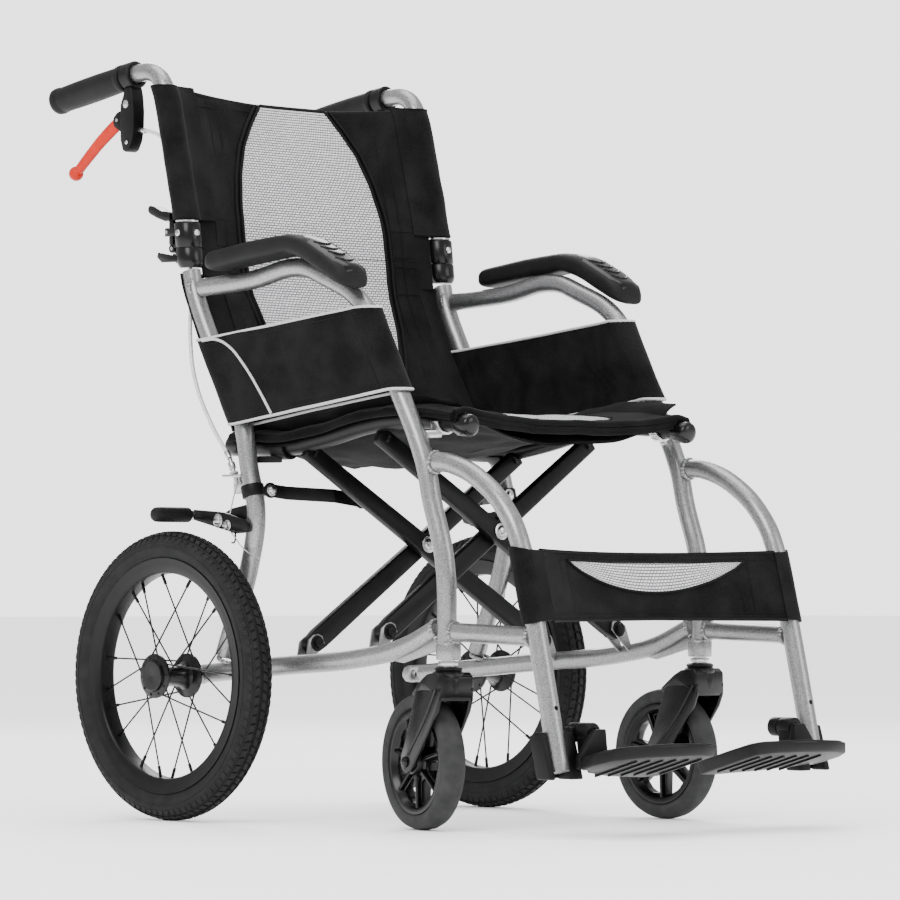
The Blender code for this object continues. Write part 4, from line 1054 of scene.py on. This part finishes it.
def brace_bar(carried, pair):
    layer = pair * PAIR_GAP - brace_layer(carried)
    along = Vector((math.cos(BRACE_ANGLE), math.sin(BRACE_ANGLE)))
    across = Vector((-along.y, along.x))
    foot = Vector((-BOLT_X, 0.0))
    length = (BOLT_X + SEAT_TUBE_X) / math.cos(BRACE_ANGLE)
    half = BRACE_FACE / 2
    outline = [foot + along * a + across * b for a, b in
               ((-0.0105, -0.0050), (-0.0060, -0.0105), (0.012, -half), (length, -half), (length, half * 0.6),
                (0.012, half), (-0.0060, 0.0105), (-0.0105, 0.0050))]
    return loft([[fold_point(carried, p.x, s, p.y) for p in outline]
                 for s in (layer - BRACE_THICK / 2, layer + BRACE_THICK / 2)])


def braces(p, side):
    body = "brace_a" if p == "right" else "brace_b"
    for pair in (0, 1):
        put(f"{p}_brace_bar_{pair}", brace_bar(side, pair), "black_paint", body, bevel=0.0024, segments=3)
    line = [at(side, SEAT_TUBE_X, y, z) for y, z in SEAT_TUBE]
    put(f"{p}_seat_tube", tube(line, SEAT_TUBE_R), "black_paint", body, [f"{p}_seat_brace"])
    for k, (end, near) in enumerate(((line[-1], line[-2]), (line[0], line[1]))):
        way = (end - near).normalized()
        shape = [(0.0100, -0.0160), (0.0122, -0.0155), (0.0126, -0.0145), (0.0126, 0.0010), (0.0118, 0.0040),
                 (0.0095, 0.0062), (0.0050, 0.0072), (0.0010, 0.0074)]
        put(f"{p}_tube_cap_{k}", revolve(shape, end, way, 40), SMOOTH_BLACK, body)
    welds = []
    top = (BOLT_X + SEAT_TUBE_X) * math.tan(BRACE_ANGLE)
    for pair in (0, 1):
        layer = pair * PAIR_GAP - brace_layer(side)
        spot = fold_point(side, SEAT_TUBE_X - 0.0075, layer, top - 0.0065)
        welds.append(bead(spot, (-0.9 * side, 0, -0.5), 0.0075, 0.0018, 8 + pair))
    put(f"{p}_brace_welds", joined(welds), "black_paint", body)


def centre_bolts():
    height = BOLT_X * math.tan(BRACE_ANGLE)
    for label, pair in (("rear", 0), ("front", 1)):
        middle = pair * PAIR_GAP
        reach = BRACE_LAYER + BRACE_THICK / 2 + 0.0005
        ends = [fold_point(1, 0.0, middle + way * reach, height) for way in (-1, 1)]
        way = (ends[1] - ends[0]).normalized()
        put(f"{label}_pivot_shank", rod(ends[0], ends[1], 0.0040), "steel", "brace_b",
            [f"{label}_centre_bolt"])
        bolt_head(f"{label}_pivot_head", ends[1], way, 0.0068, "brace_b", 0.0042, dome=True)
        bolt_head(f"{label}_pivot_nut", ends[0], -way, 0.0066, "brace_b", 0.0040)


def strap_link(p, side):
    line = [(0.1900, -0.0430, 0.1829), (0.1780, -0.0430, 0.1814), (0.1660, -0.0420, 0.1799),
            (0.1420, -0.0285, 0.1768), (0.1180, LINK_LAYER, 0.1737), (0.0760, LINK_LAYER, 0.1684)]
    rings = [[fold_point(side, x, along + t, up + w) for t, w in
              ((-0.0015, -0.0078), (0.0015, -0.0078), (0.0015, 0.0078),
               (-0.0015, 0.0078))] for x, along, up in line]
    put(f"{p}_link_strap", loft(rings), "black_paint", f"{p}_strut", [f"{p}_link"], bevel=0.0007)
    for k, (x, along, up) in enumerate((line[0], line[-1])):
        ends = [fold_point(side, x, along + t, up) for t in (-0.0017, 0.0017)]
        put(f"{p}_link_eye_{k}", rod(ends[0], ends[1], 0.0092, 36), "black_paint", f"{p}_strut", bevel=0.0006)
        way = (ends[1] - ends[0]).normalized()
        bolt_head(f"{p}_link_bolt_{k}", ends[1], way, 0.0050, f"{p}_strut", 0.0040, dome=True)
        bolt_head(f"{p}_link_nut_{k}", ends[0], -way, 0.0050, f"{p}_strut", 0.0030)
    boss = rod(fold_point(side, 0.190, -0.0600, 0.1829), fold_point(side, 0.190, -0.0462, 0.1829), 0.0060, 28)
    put(f"{p}_link_boss", boss, "frame_paint", f"{p}_frame", bevel=0.0006)


def saddles(p, side):
    body = f"{p}_frame"
    for label, y, look, wide in (("rear", -0.1080, "black_plastic", 0.0120),
                                 ("front", -0.3790, "steel", 0.0060)):
        z = on_line(SEAT_TUBE, y)
        rings = []
        for s in (-1, 1):
            centre = at(side, SEAT_TUBE_X, y + s * wide, z)
            inner = [centre + Vector((math.cos(a) * 0.0113 * side, 0, math.sin(a) * 0.0113))
                     for a in [math.radians(200 + 160 * i / 14) for i in range(15)]]
            outer = [centre + Vector((math.cos(a) * 0.0150 * side, 0, math.sin(a) * 0.0150))
                     for a in [math.radians(360 - 160 * i / 14) for i in range(15)]]
            rings.append(inner + outer)
        parts = [loft(rings)]
        post = depth_on(REAR_POST, z - 0.016) if label == "rear" else depth_on(ARM_TUBE[4:], z - 0.012)
        parts.append(loft([[at(side, x, py + dy, z - 0.0145 + dz) for dy, dz in
                            ((-0.004, -0.004), (0.004, -0.004), (0.004, 0.004), (-0.004, 0.004))]
                           for x, py in ((SEAT_TUBE_X + 0.006, y), (FRAME_X - 0.008, post))]))
        put(f"{p}_{label}_saddle", joined(parts), look, body, bevel=0.0008)


def seat(p, side):
    body = "brace_a" if p == "right" else "brace_b"
    y0, y1 = -0.0300, -0.4100

    def rise(y):
        return on_line(SEAT_TUBE, y) + SEAT_TUBE_R

    def top(u, v):
        x = 0.1895 - 0.1892 * u
        y = y0 + (y1 - y0) * v
        share = min(1.0, x / 0.165)
        drop = 0.0115 * (1 - share * share)
        over = max(0.0, x - 0.178) * 0.45
        ripple = noise.noise(Vector((x * 30, y * 24, side)))
        crease = 0.0022 * math.sin(y * 55 + x * 16) * (1 - share) + 0.0018 * ripple
        return at(side, x, y + 0.002 * noise.noise(Vector((x * 14, 3, v))),
                  rise(y) + 0.0052 - drop - over + crease)

    def under(u, v):
        point = top(0.05 + 0.95 * u, 0.02 + 0.95 * v)
        share = abs(point.x) / 0.165
        sag = 0.0060 + 0.0180 * max(0.0, 1 - share * share) + 0.0030 * noise.noise(point * 18)
        hide = 0.0 if share < 0.86 else 0.012 * (share - 0.86) / 0.14
        return point - Vector((0, 0, sag - hide))

    pieces = [cloth(f"{p}_seat_cloth", top, 26, 46, 0.0052, (0.19, 0.38), SLOTS["fabric"], body,
                    [f"{p}_seat_half"],
                    ripple=0.0010, seed=2 + side)]
    pieces.append(cloth(f"{p}_seat_underlay", under, 22, 40, 0.0020, (0.18, 0.36), EDGE_CLOTH, body,
                        ripple=0.003,
                        seed=9 + side))

    def pad(u, v):
        point = top(0.56 + 0.44 * u, 0.10 + 0.84 * v)
        return point + Vector((0, 0, 0.0040))

    mesh = cloth(f"{p}_seat_mesh", pad, 18, 40, 0.0014, (0.084, 0.32), AIR_MESH, body)
    hems = [tube([top(u, 1.0) + Vector((0, -0.0008, dz)) for u in [0.02 + 0.98 * k / 12 for k in range(13)]],
                 r, 3, 3)
            for dz, r in ((0.0006, 0.0036), (-0.0060, 0.0026), (-0.0105, 0.0022))]
    hems.append(tube([top(0.012, v) + Vector((side * 0.0005, 0,
                                              -0.0030)) for v in [k / 16 for k in range(17)]], 0.0048, 3,
                     3))
    hems.append(tube([top(0.56, 0.10 + 0.84 * k / 12) + Vector((0, 0, 0.0042)) for k in range(13)], 0.0018,
                     3, 3))
    hem = put(f"{p}_seat_hem", joined(hems), EDGE_CLOTH, body, angle=70)
    for obj in pieces + [mesh, hem]:
        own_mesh(obj)


# ---- arm rests and side panels

def pad_section(inner, outer, base, top, power=3.2, count=32):
    points = []
    for i in range(count):
        a = 2 * math.pi * (i + 0.5) / count
        c, s = math.cos(a), math.sin(a)
        points.append(((inner + outer) / 2 + (outer - inner) / 2 * math.copysign(abs(c) ** (2 / power), c),
                       (base + top) / 2 + (top - base) / 2 * math.copysign(abs(s) ** (2 / power), s)))
    return points


def smooth_station(y):
    rows = PAD_STATIONS
    for k in range(len(rows) - 1):
        if rows[k + 1][0] <= y <= rows[k][0]:
            t = (y - rows[k][0]) / (rows[k + 1][0] - rows[k][0])
            before, after = rows[max(0, k - 1)], rows[min(len(rows) - 1, k + 2)]
            out = []
            for i in range(1, 5):
                a, b, c, d = before[i], rows[k][i], rows[k + 1][i], after[i]
                smooth = 0.5 * (2 * b + (c - a) * t + (2 * a - 5 * b + 4 * c - d) * t * t
                                + (3 * b - a - 3 * c + d) * t ** 3)
                out.append(0.6 * smooth + 0.4 * (b + (c - b) * t))
            return out
    return rows[-1][1:]


def arm_pad(p, side):
    body = f"{p}_frame"
    ys = [-0.035 - 0.255 * k / 40 for k in range(41)]
    rings = []
    for k, y in enumerate(ys):
        base, top, inner, outer = smooth_station(y)
        t = min(1.0, (min(k, 40 - k) + 0.35) / 3)
        ease = math.sqrt(1 - (1 - t) ** 2)
        mid_x, mid_z = (inner + outer) / 2, (base + top) / 2
        rings.append([at(side, mid_x + (x - mid_x) * ease, y, mid_z + (z - mid_z) * ease)
                      for x, z in pad_section(inner, outer, base, top)])
    put(f"{p}_arm_rest", loft(rings), "soft_black", body, [f"{p}_arm_pad"], angle=60)
    rings = []
    for k, y in enumerate([-0.205 - 0.079 * i / 20 for i in range(21)]):
        base, top, inner, outer = smooth_station(y)
        share = min(1.0, 0.70 + 0.30 * min(k, 20 - k) / 4)
        half = (outer - inner) / 2 * 0.86 * share
        mid = (inner + outer) / 2
        lift = [(-half, top - 0.0042), (-half * 0.82, top - 0.0004), (-half * 0.4, top + 0.0012),
                (0, top + 0.0015),
                (half * 0.4, top + 0.0012), (half * 0.82, top - 0.0004), (half, top - 0.0042)]
        rings.append([at(side, mid + x, y, z)
                      for x, z in lift + [(half * 0.9, top - 0.008), (-half * 0.9, top - 0.008)]])
    grooves = []
    for i in range(4):
        y0 = -0.2270 - 0.0125 * i
        points = []
        for k in range(7):
            t = -1 + 2 * k / 6
            y = y0 - 0.0075 * (1 - t * t)
            base, top, inner, outer = smooth_station(y)
            points.append(at(side, (inner + outer) / 2 + 0.0135 * t, y, top + 0.0016 - 0.0010 * t * t))
        grooves.append(tube(points, 0.0013, 4, 3))
    put(f"{p}_arm_cap", loft(rings), SMOOTH_BLACK, body, angle=45)
    put(f"{p}_arm_ridges", joined(grooves), SMOOTH_BLACK, body)


def panel_edges(s):
    return 0.4600 + 0.0320 * s, 0.5600 + 0.0260 * s


def panel_band(side, u, v, fat=0.0148, grow=0.0):
    """A loop round both posts: rear wrap, outer face, front wrap, inner face."""
    turn = u % 1.0
    wrap = 0.11
    face = 0.5 - wrap
    if turn < face:
        s, lean = turn / face, 1.0
        angle = None
    elif turn < face + wrap:
        s, angle = 1.0, 90 - 180 * (turn - face) / wrap
    elif turn < 2 * face + wrap:
        s, lean = 1 - (turn - face - wrap) / face, -1.0
        angle = None
    else:
        s, angle = 0.0, -90 - 180 * (turn - 2 * face - wrap) / wrap
    low_z, high_z = panel_edges(s)
    z = low_z + (high_z - low_z) * v
    rear, front = depth_on(REAR_POST, z), depth_on(ARM_TUBE[4:], z)
    fat = fat + grow
    if angle is None:
        pinch = 1 - 0.34 * math.sin(math.pi * s) if lean < 0 else 1 - 0.10 * math.sin(math.pi * s)
        billow = 0.0012 * noise.noise(Vector((s * 6, v * 3, side * 2)))
        return at(side, FRAME_X + lean * (fat * pinch) + billow, rear + (front - rear) * s, z)
    a = math.radians(angle)
    centre = front if s > 0.5 else rear
    # the arm rail leans back more towards its bend, so a level cut through it is longer
    reach = 1.16 + (0.42 * v * v if s > 0.5 else 0.0)
    return at(side, FRAME_X + fat * math.sin(a), centre - reach * fat * math.cos(a), z)


def side_panel(p, side):
    body = f"{p}_frame"
    panel = cloth(f"{p}_skirt", lambda u, v: panel_band(side, u, v), 96, 14, 0.0018, (0.66, 0.10),
                  SLOTS["fabric"],
                  body, [f"{p}_side_panel"], wrap=True, ripple=0.0009, seed=5 * side)
    cords = []
    for v, r in ((0.0, 0.0018), (1.0, 0.0018)):
        loop = [panel_band(side, i / 60, v) for i in range(61)]
        cords.append(tube(loop, r, 3, 3))
    # the flap's rounded end, closed over the outer face just ahead of the rear post
    flap = ((0.004, 0.985), (0.038, 0.965), (0.062, 0.860), (0.080, 0.620), (0.092, 0.320), (0.100, 0.020))
    cords.append(tube([panel_band(side, u, v, grow=0.0012) for u, v in flap], 0.0017, 6, 3))
    edge = put(f"{p}_skirt_piping", joined(cords), PALE_PIPING, body, angle=70)
    threads = []
    for u in (0.087, 0.372):
        threads.append(tube([panel_band(side, u, 0.04 + 0.92 * k / 8, grow=0.0009) for k in range(9)],
                            THREAD_R, 3, 1))
    for v in (0.07, 0.93):
        threads.append(tube([panel_band(side, 0.01 + 0.38 * k / 20, v, grow=0.0009) for k in range(21)],
                            THREAD_R, 3, 1))
    stitch = put(f"{p}_skirt_stitches", joined(threads), THREAD, body)
    low_z = panel_edges(0)[0]
    tag_y = depth_on(REAR_POST, low_z + 0.05) + 0.0142
    tag = box(side, (FRAME_X - 0.004, FRAME_X + 0.004), (tag_y - 0.0008, tag_y + 0.0008),
              (low_z + 0.044, low_z + 0.056))
    put(f"{p}_skirt_tag", tag, PALE_PIPING, body, bevel=0.0004)


# ---- calf strap

def strap_point(x, z, forward=0.0):
    y = depth_on(ARCH, z)
    share = min(1.0, abs(x) / 0.188)
    bow = 0.030 * (1 - share * share) ** 0.8 if share < 1 else 0.0
    return at(1, x, y - 0.0128 - forward + bow + 0.0008 * noise.noise(Vector((x * 20, z * 20, 8))), z)


def strap_ends(x):
    share = abs(x) / 0.2
    return 0.2340 + 0.0015 * (1 - share), 0.3110 - 0.0040 * (1 - share * share)


def calf_strap():
    body = "right_frame"

    def band(u, v):
        x = -0.186 + 0.372 * u
        low_z, high_z = strap_ends(x)
        return strap_point(x, low_z + (high_z - low_z) * v)

    main = cloth("calf_band", band, 64, 14, 0.0034, (0.372, 0.077), SLOTS["fabric"], body, ["calf_strap"],
                 ripple=0.0010, seed=3)

    def crescent(u, v):
        x = 0.006 + 0.139 * (-1 + 2 * u)
        top = strap_ends(x)[1] - 0.0085
        deep = 0.0335 * (1 - (2 * u - 1) ** 2) ** 0.85 + 0.0006
        return strap_point(x, top - deep * (1 - v), 0.0026)

    inset = cloth("calf_mesh", crescent, 56, 8, 0.0012, (0.278, 0.030), AIR_MESH, body)
    lines = [tube([crescent(k / 28, v) + Vector((0, -0.0006, 0)) for k in range(29)], 0.0014, 3,
                  3) for v in (0.0, 1.0)]
    lines.append(tube([band(k / 30, 1.0) + Vector((0, -0.0008, 0)) for k in range(31)], 0.0022, 3, 3))
    lines.append(tube([band(k / 30, 0.0) + Vector((0, -0.0008, 0)) for k in range(31)], 0.0022, 3, 3))
    edge = put("calf_piping", joined(lines), DARK_PIPING, body, angle=70)
    threads = [tube([band(k / 20, v) + Vector((0, -0.0020, 0)) for k in range(21)], THREAD_R, 3,
                    1) for v in (0.10, 0.90)]
    for x in (0.10, 0.135, 0.865, 0.90):
        threads.append(tube([band(x, 0.10 + 0.8 * k / 8) + Vector((0, -0.0020, 0)) for k in range(9)],
                            THREAD_R, 3, 1))
    stitch = put("calf_stitches", joined(threads), THREAD, body)
    for obj in (main, inset, edge, stitch):
        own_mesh(obj)
    for p, side in SIDES.items():
        def wrap(u, v):
            x0 = 0.186
            low_z, high_z = strap_ends(x0)
            rise = 0.004 * math.sin(math.pi * min(1.0, u * 1.2)) * (2 * v - 1)
            z = low_z + (high_z - low_z) * v + rise
            y = depth_on(ARCH, z)
            a = math.radians(-92 + 262 * u)
            r = 0.0131
            return at(side, FRAME_X + r * math.cos(a) if u > 0.0 else x0, y + r * math.sin(a), z)

        def lead(u, v):
            low_z, high_z = strap_ends(0.186)
            z = low_z + (high_z - low_z) * v
            y = depth_on(ARCH, z)
            return at(side, 0.1845 + (FRAME_X - 0.1840) * u, y - 0.0131, z)

        loop = cloth(f"{p}_strap_loop", wrap, 30, 10, 0.0026, (0.060, 0.077), SLOTS["fabric"], f"{p}_frame",
                     ripple=0.0008, seed=11)
        front = cloth(f"{p}_strap_front", lead, 6, 10, 0.0030, (0.018, 0.077), SLOTS["fabric"], f"{p}_frame")


# ---- footrests

def footrest(p, side):
    frame_body, plate_body = f"{p}_frame", f"{p}_footrest"
    block = [(-0.6010, 0.0630), (-0.5780, 0.0630), (-0.5660, 0.1090), (-0.5740, 0.1140), (-0.5860, 0.1140)]
    cheeks = [slab(side, block, *pair) for pair in ((0.1720, 0.1905), (0.2135, 0.2220))]
    back = slab(side, [(-0.5800, 0.0640), (-0.5740, 0.0640), (-0.5640, 0.1090), (-0.5690, 0.1120)], 0.1760,
                0.2180)
    put(f"{p}_foot_moulding", joined(cheeks + [back]), "black_plastic", frame_body,
        [f"{p}_footplate_bracket"],
        bevel=0.0022, segments=3)
    arm = [box(side, (FLIP_X, 0.1760), (-0.5830, -0.5700), (0.1030, 0.1190)),
           rod(at(side, FLIP_X, -0.5830, FLIP_Z), at(side, FLIP_X, -0.5700, FLIP_Z), 0.0108, 36)]
    put(f"{p}_foot_knuckle", joined(arm), "black_plastic", frame_body, bevel=0.0010)
    pin = rod(at(side, FLIP_X, -0.6030, FLIP_Z), at(side, FLIP_X, -0.5720, FLIP_Z), 0.0040, 24)
    put(f"{p}_foot_pin", pin, "steel", frame_body)
    slope = math.tan(math.radians(15.6))
    outline = [(0.1700, -0.6030), (0.1755, -0.6130), (0.1935, -0.6170), (0.1955, -0.6400), (0.1860, -0.6570),
               (0.1500, -0.6680), (0.0600, -0.6710),
               (0.0290, -0.6640), (0.0210, -0.6480), (0.0210, -0.5900), (0.0270, -0.5760), (0.0600, -0.5730),
               (0.1200, -0.5840)]

    def level(x, y, base):
        return at(side, x, y, base - (y + 0.590) * slope)

    plate = loft([[level(max(x, inner), y, base) for x, y in outline]
                  for base, inner in ((0.0655, 0.0340), (0.0785, 0.0220))])
    put(f"{p}_foot_tread", plate, "black_plastic", plate_body, [f"{p}_footplate"], bevel=0.0026, segments=3)
    rim = [level(max(0.1 + (x - 0.1) * 0.95, 0.0285), -0.622 + (y + 0.622) * 0.92, 0.0778) for x,
           y in outline]
    put(f"{p}_foot_rim", tube(rim + [rim[0]], 0.0016, 5, 3), "black_plastic", plate_body)
    ridges = []
    for k in range(9):
        y = -0.5960 - 0.0075 * k
        ridges.append(tube([level(0.040, y, 0.0768), level(0.092, y, 0.0768),
                            level(0.146, y - 0.002, 0.0768)], 0.0011, 2,
                           2))
    for k in range(6):
        x = 0.046 + 0.020 * k
        rib = ((-0.0012, 0.0635), (0.0012, 0.0635), (0.0012, 0.0690), (-0.0012, 0.0690))
        ridges.append(loft([[level(x + a, y, b) for a, b in rib] for y in (-0.592, -0.655)]))
    put(f"{p}_foot_ribs", joined(ridges), "black_plastic", plate_body, bevel=0.0)
    neck = slab(side, [(-0.6035, 0.0740), (-0.5900, 0.0740), (-0.5850, 0.1080), (-0.5850, 0.1130),
                       (-0.6035, 0.1130)],
                0.1500, 0.1690)
    web = ((0.1450, 0.0740), (0.1890, 0.0740), (0.1890, 0.0880), (0.1660, 0.1170), (0.1500, 0.1170))
    wing = loft([[at(side, x, y, z) for x, z in web] for y in (-0.6130, -0.6045)])
    put(f"{p}_foot_wing", wing, "black_plastic", plate_body, bevel=0.0016)
    knuckle = rod(at(side, FLIP_X, -0.6035, FLIP_Z), at(side, FLIP_X, -0.5840, FLIP_Z), 0.0108, 36)
    hole = rod(at(side, FLIP_X, -0.62, FLIP_Z), at(side, FLIP_X, -0.56, FLIP_Z), 0.0046, 24)
    put(f"{p}_foot_neck", neck, "black_plastic", plate_body, bevel=0.0016)
    put(f"{p}_foot_eye", knuckle, "black_plastic", plate_body, cut=[hole], bevel=0.0008)


# ---- brakes

def brakes(p, side):
    body = f"{p}_frame"
    plate = slab(side, [(-0.096, 0.334), (-0.060, 0.333), (-0.040, 0.338), (-0.036, 0.348), (-0.040, 0.357),
                        (-0.055, 0.3625), (-0.090, 0.368)], FRAME_X + 0.0022, FRAME_X + 0.0058)
    put(f"{p}_brake_plate", plate, "black_paint", body, bevel=0.0010)
    boss = rod(at(side, 0.2055, BRAKE_Y, BRAKE_Z), at(side, 0.2155, BRAKE_Y, BRAKE_Z), 0.0085, 32)
    put(f"{p}_brake_boss", boss, "steel", body, bevel=0.0010)
    shelf = box(side, (0.2035, 0.2165), (-0.0800, -0.0480), (0.3985, 0.4015))
    lug = box(side, (0.2035, 0.2060), (-0.0800, -0.0560), (0.3790, 0.4010))
    put(f"{p}_adjuster_bracket", joined([shelf, lug]), "steel", body, bevel=0.0006)
    base, tip = at(side, 0.2105, -0.0680, 0.3900), at(side, 0.2105, -0.0552, 0.4200)
    way = (tip - base).normalized()
    barrel = [rod(base, tip, 0.0026, 20)]
    for h, r, deep in ((0.0125, 0.0054, 0.0030), (0.0190, 0.0042, 0.0085)):
        barrel.append(rod(base + way * h, base + way * (h + deep), r, 6 if r > 0.005 else 20))
    put(f"{p}_adjuster", joined(barrel), "steel", body, bevel=0.0003)
    anchor = at(side, 0.2190, -0.0640, 0.3410)
    wire = [base, base + (anchor - base) * 0.5 + Vector((side * 0.002, 0, 0)), anchor,
            at(side, 0.2200, -0.0760, 0.3280), at(side, 0.2190, -0.0930, 0.3130),
            at(side, 0.2170, -0.1090, 0.3050)]
    put(f"{p}_inner_wire", tube(wire, 0.0007, 8, 3), "steel", body)
    put(f"{p}_wire_end", rod(wire[-1], wire[-1] + (wire[-1] - wire[-2]).normalized() * 0.0070, 0.0014, 14),
        "steel",
        body)
    arm_body = f"{p}_brake"
    arm = [(-0.0975, 0.3345), (-0.0998, 0.3390), (-0.0985, 0.3440), (-0.0930, 0.3485), (-0.0560, 0.3575),
           (-0.0400, 0.3590), (0.0, 0.3615), (0.0050, 0.3595), (0.0065, 0.3550), (0.0040, 0.3505),
           (-0.0380, 0.3415), (-0.0500, 0.3385), (-0.0900, 0.3338)]
    put(f"{p}_brake_lever_arm", slab(side, arm, 0.2163, 0.2212), "black_paint", arm_body, [f"{p}_brake_arm"],
        bevel=0.0010)
    bolt_head(f"{p}_arm_pivot", at(side, 0.2214, BRAKE_Y, BRAKE_Z), (side, 0, 0), 0.0056, body, 0.0032,
              dome=True)
    bolt_head(f"{p}_arm_anchor", at(side, 0.2214, -0.0640, 0.3425), (side, 0, 0), 0.0044, arm_body, 0.0040)
    stub = rod(at(side, 0.2180, 0.0, 0.3552), at(side, 0.2310, 0.0, 0.3552), 0.0062, 28)
    put(f"{p}_shoe_stub", stub, "steel", arm_body, bevel=0.0006)
    start = at(side, 0.2265, 0.0, 0.3552)
    shape = [(0.0074, 0.0), (0.0086, 0.0012), (0.0089, 0.0060), (0.0089, 0.0440), (0.0084, 0.0500),
             (0.0068, 0.0528),
             (0.0040, 0.0540), (0.0006, 0.0543)]
    put(f"{p}_shoe_sleeve", revolve(shape, start, (side, 0, 0), 36), "soft_black", arm_body)
    hook = [at(side, 0.2150, y, z) for y, z in ((-0.0700, 0.3360), (-0.0702, 0.3270), (-0.0680, 0.3225),
                                                (-0.0640, 0.3225))]
    put(f"{p}_spring_hook", tube(hook, 0.0010, 6, 3), "black_paint", body)
    route = [at(side, *point) for point in CABLE]
    cable = put(f"{p}_cable_housing", tube(route, 0.0024, 10, 4), "cable_sleeve", body, [f"{p}_brake_cable"])
    cable.parent = None
    cable.matrix_world = Matrix.Identity(4)
    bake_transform(cable)
    ferrule = rod(route[-1], route[-1] + (route[-2] - route[-1]).normalized() * 0.010, 0.0033, 20)
    put(f"{p}_cable_ferrule", ferrule, "steel", body, bevel=0.0004)
    top = rod(route[0] + Vector((0, 0.004, 0)), route[0] + (route[1] - route[0]).normalized() * 0.008,
              0.0033, 20)
    put(f"{p}_cable_inlet", top, "steel", f"{p}_back", bevel=0.0004)


for prefix, side in SIDES.items():
    frame_side(prefix, side)
    rear_wheel(prefix, side)
    caster(prefix, side)
    back_side(prefix, side)
    braces(prefix, side)
    strap_link(prefix, side)
    saddles(prefix, side)
    seat(prefix, side)
    arm_pad(prefix, side)
    side_panel(prefix, side)
    footrest(prefix, side)
    brakes(prefix, side)
back_centre()
centre_bolts()
calf_strap()


# ---- studio

def studio():
    floor = bpy.data.objects.new("floor", bpy.data.meshes.new("floor"))
    solid = bmesh.new()
    bmesh.ops.create_grid(solid, x_segments=1, y_segments=1, size=40)
    solid.to_mesh(floor.data)
    solid.free()
    bpy.context.scene.collection.objects.link(floor)
    m = Nodes("floor_look", (0.9, 0.9, 0.9), 0.6)
    m.into("Base Color", m.ramp(m.noise(3), (0.3, grey(0.90)), (0.7, grey(0.92))))
    floor.data.materials.append(m.made)
    world = bpy.data.worlds.new("studio")
    bpy.context.scene.world = world
    world.use_nodes = True
    sky = world.node_tree.nodes["Background"]
    sky.inputs["Color"].default_value = (1, 1, 1, 1)
    # black pieces mirror a dimmer room than the one that lights them, as between a studio's dark flags
    path = world.node_tree.nodes.new("ShaderNodeLightPath")
    dim = world.node_tree.nodes.new("ShaderNodeMapRange")
    dim.inputs["To Min"].default_value = 2.7
    dim.inputs["To Max"].default_value = 0.8
    world.node_tree.links.new(path.outputs["Is Glossy Ray"], dim.inputs["Value"])
    world.node_tree.links.new(dim.outputs[0], sky.inputs["Strength"])
    focus = Vector((0, 0, 0.45))
    for name, place, size, power in (("key", (-2.6, -1.2, 2.8), 1.6, 70), ("fill", (1.2, -3.6, 1.9), 1.8, 40),
                                     ("rim", (2.2, 2.6, 2.4), 1.6, 60), ("top", (0, 0.3, 3.4), 2.2, 50)):
        lamp = bpy.data.lights.new(name, "AREA")
        lamp.size = size
        lamp.energy = power
        obj = bpy.data.objects.new(name, lamp)
        obj.location = place
        obj.rotation_euler = (focus - Vector(place)).to_track_quat("-Z", "Y").to_euler()
        bpy.context.scene.collection.objects.link(obj)
    camera = bpy.data.objects.new("camera", bpy.data.cameras.new("camera"))
    camera.data.lens = 186.4
    camera.data.sensor_width = 36.0
    camera.location = (-3.714, AXLE_Y - 4.187, 0.262)
    camera.rotation_euler = (math.radians(91.78), 0, math.radians(-43))
    bpy.context.scene.collection.objects.link(camera)
    bpy.context.scene.camera = camera


studio()
bpy.context.view_layer.update()
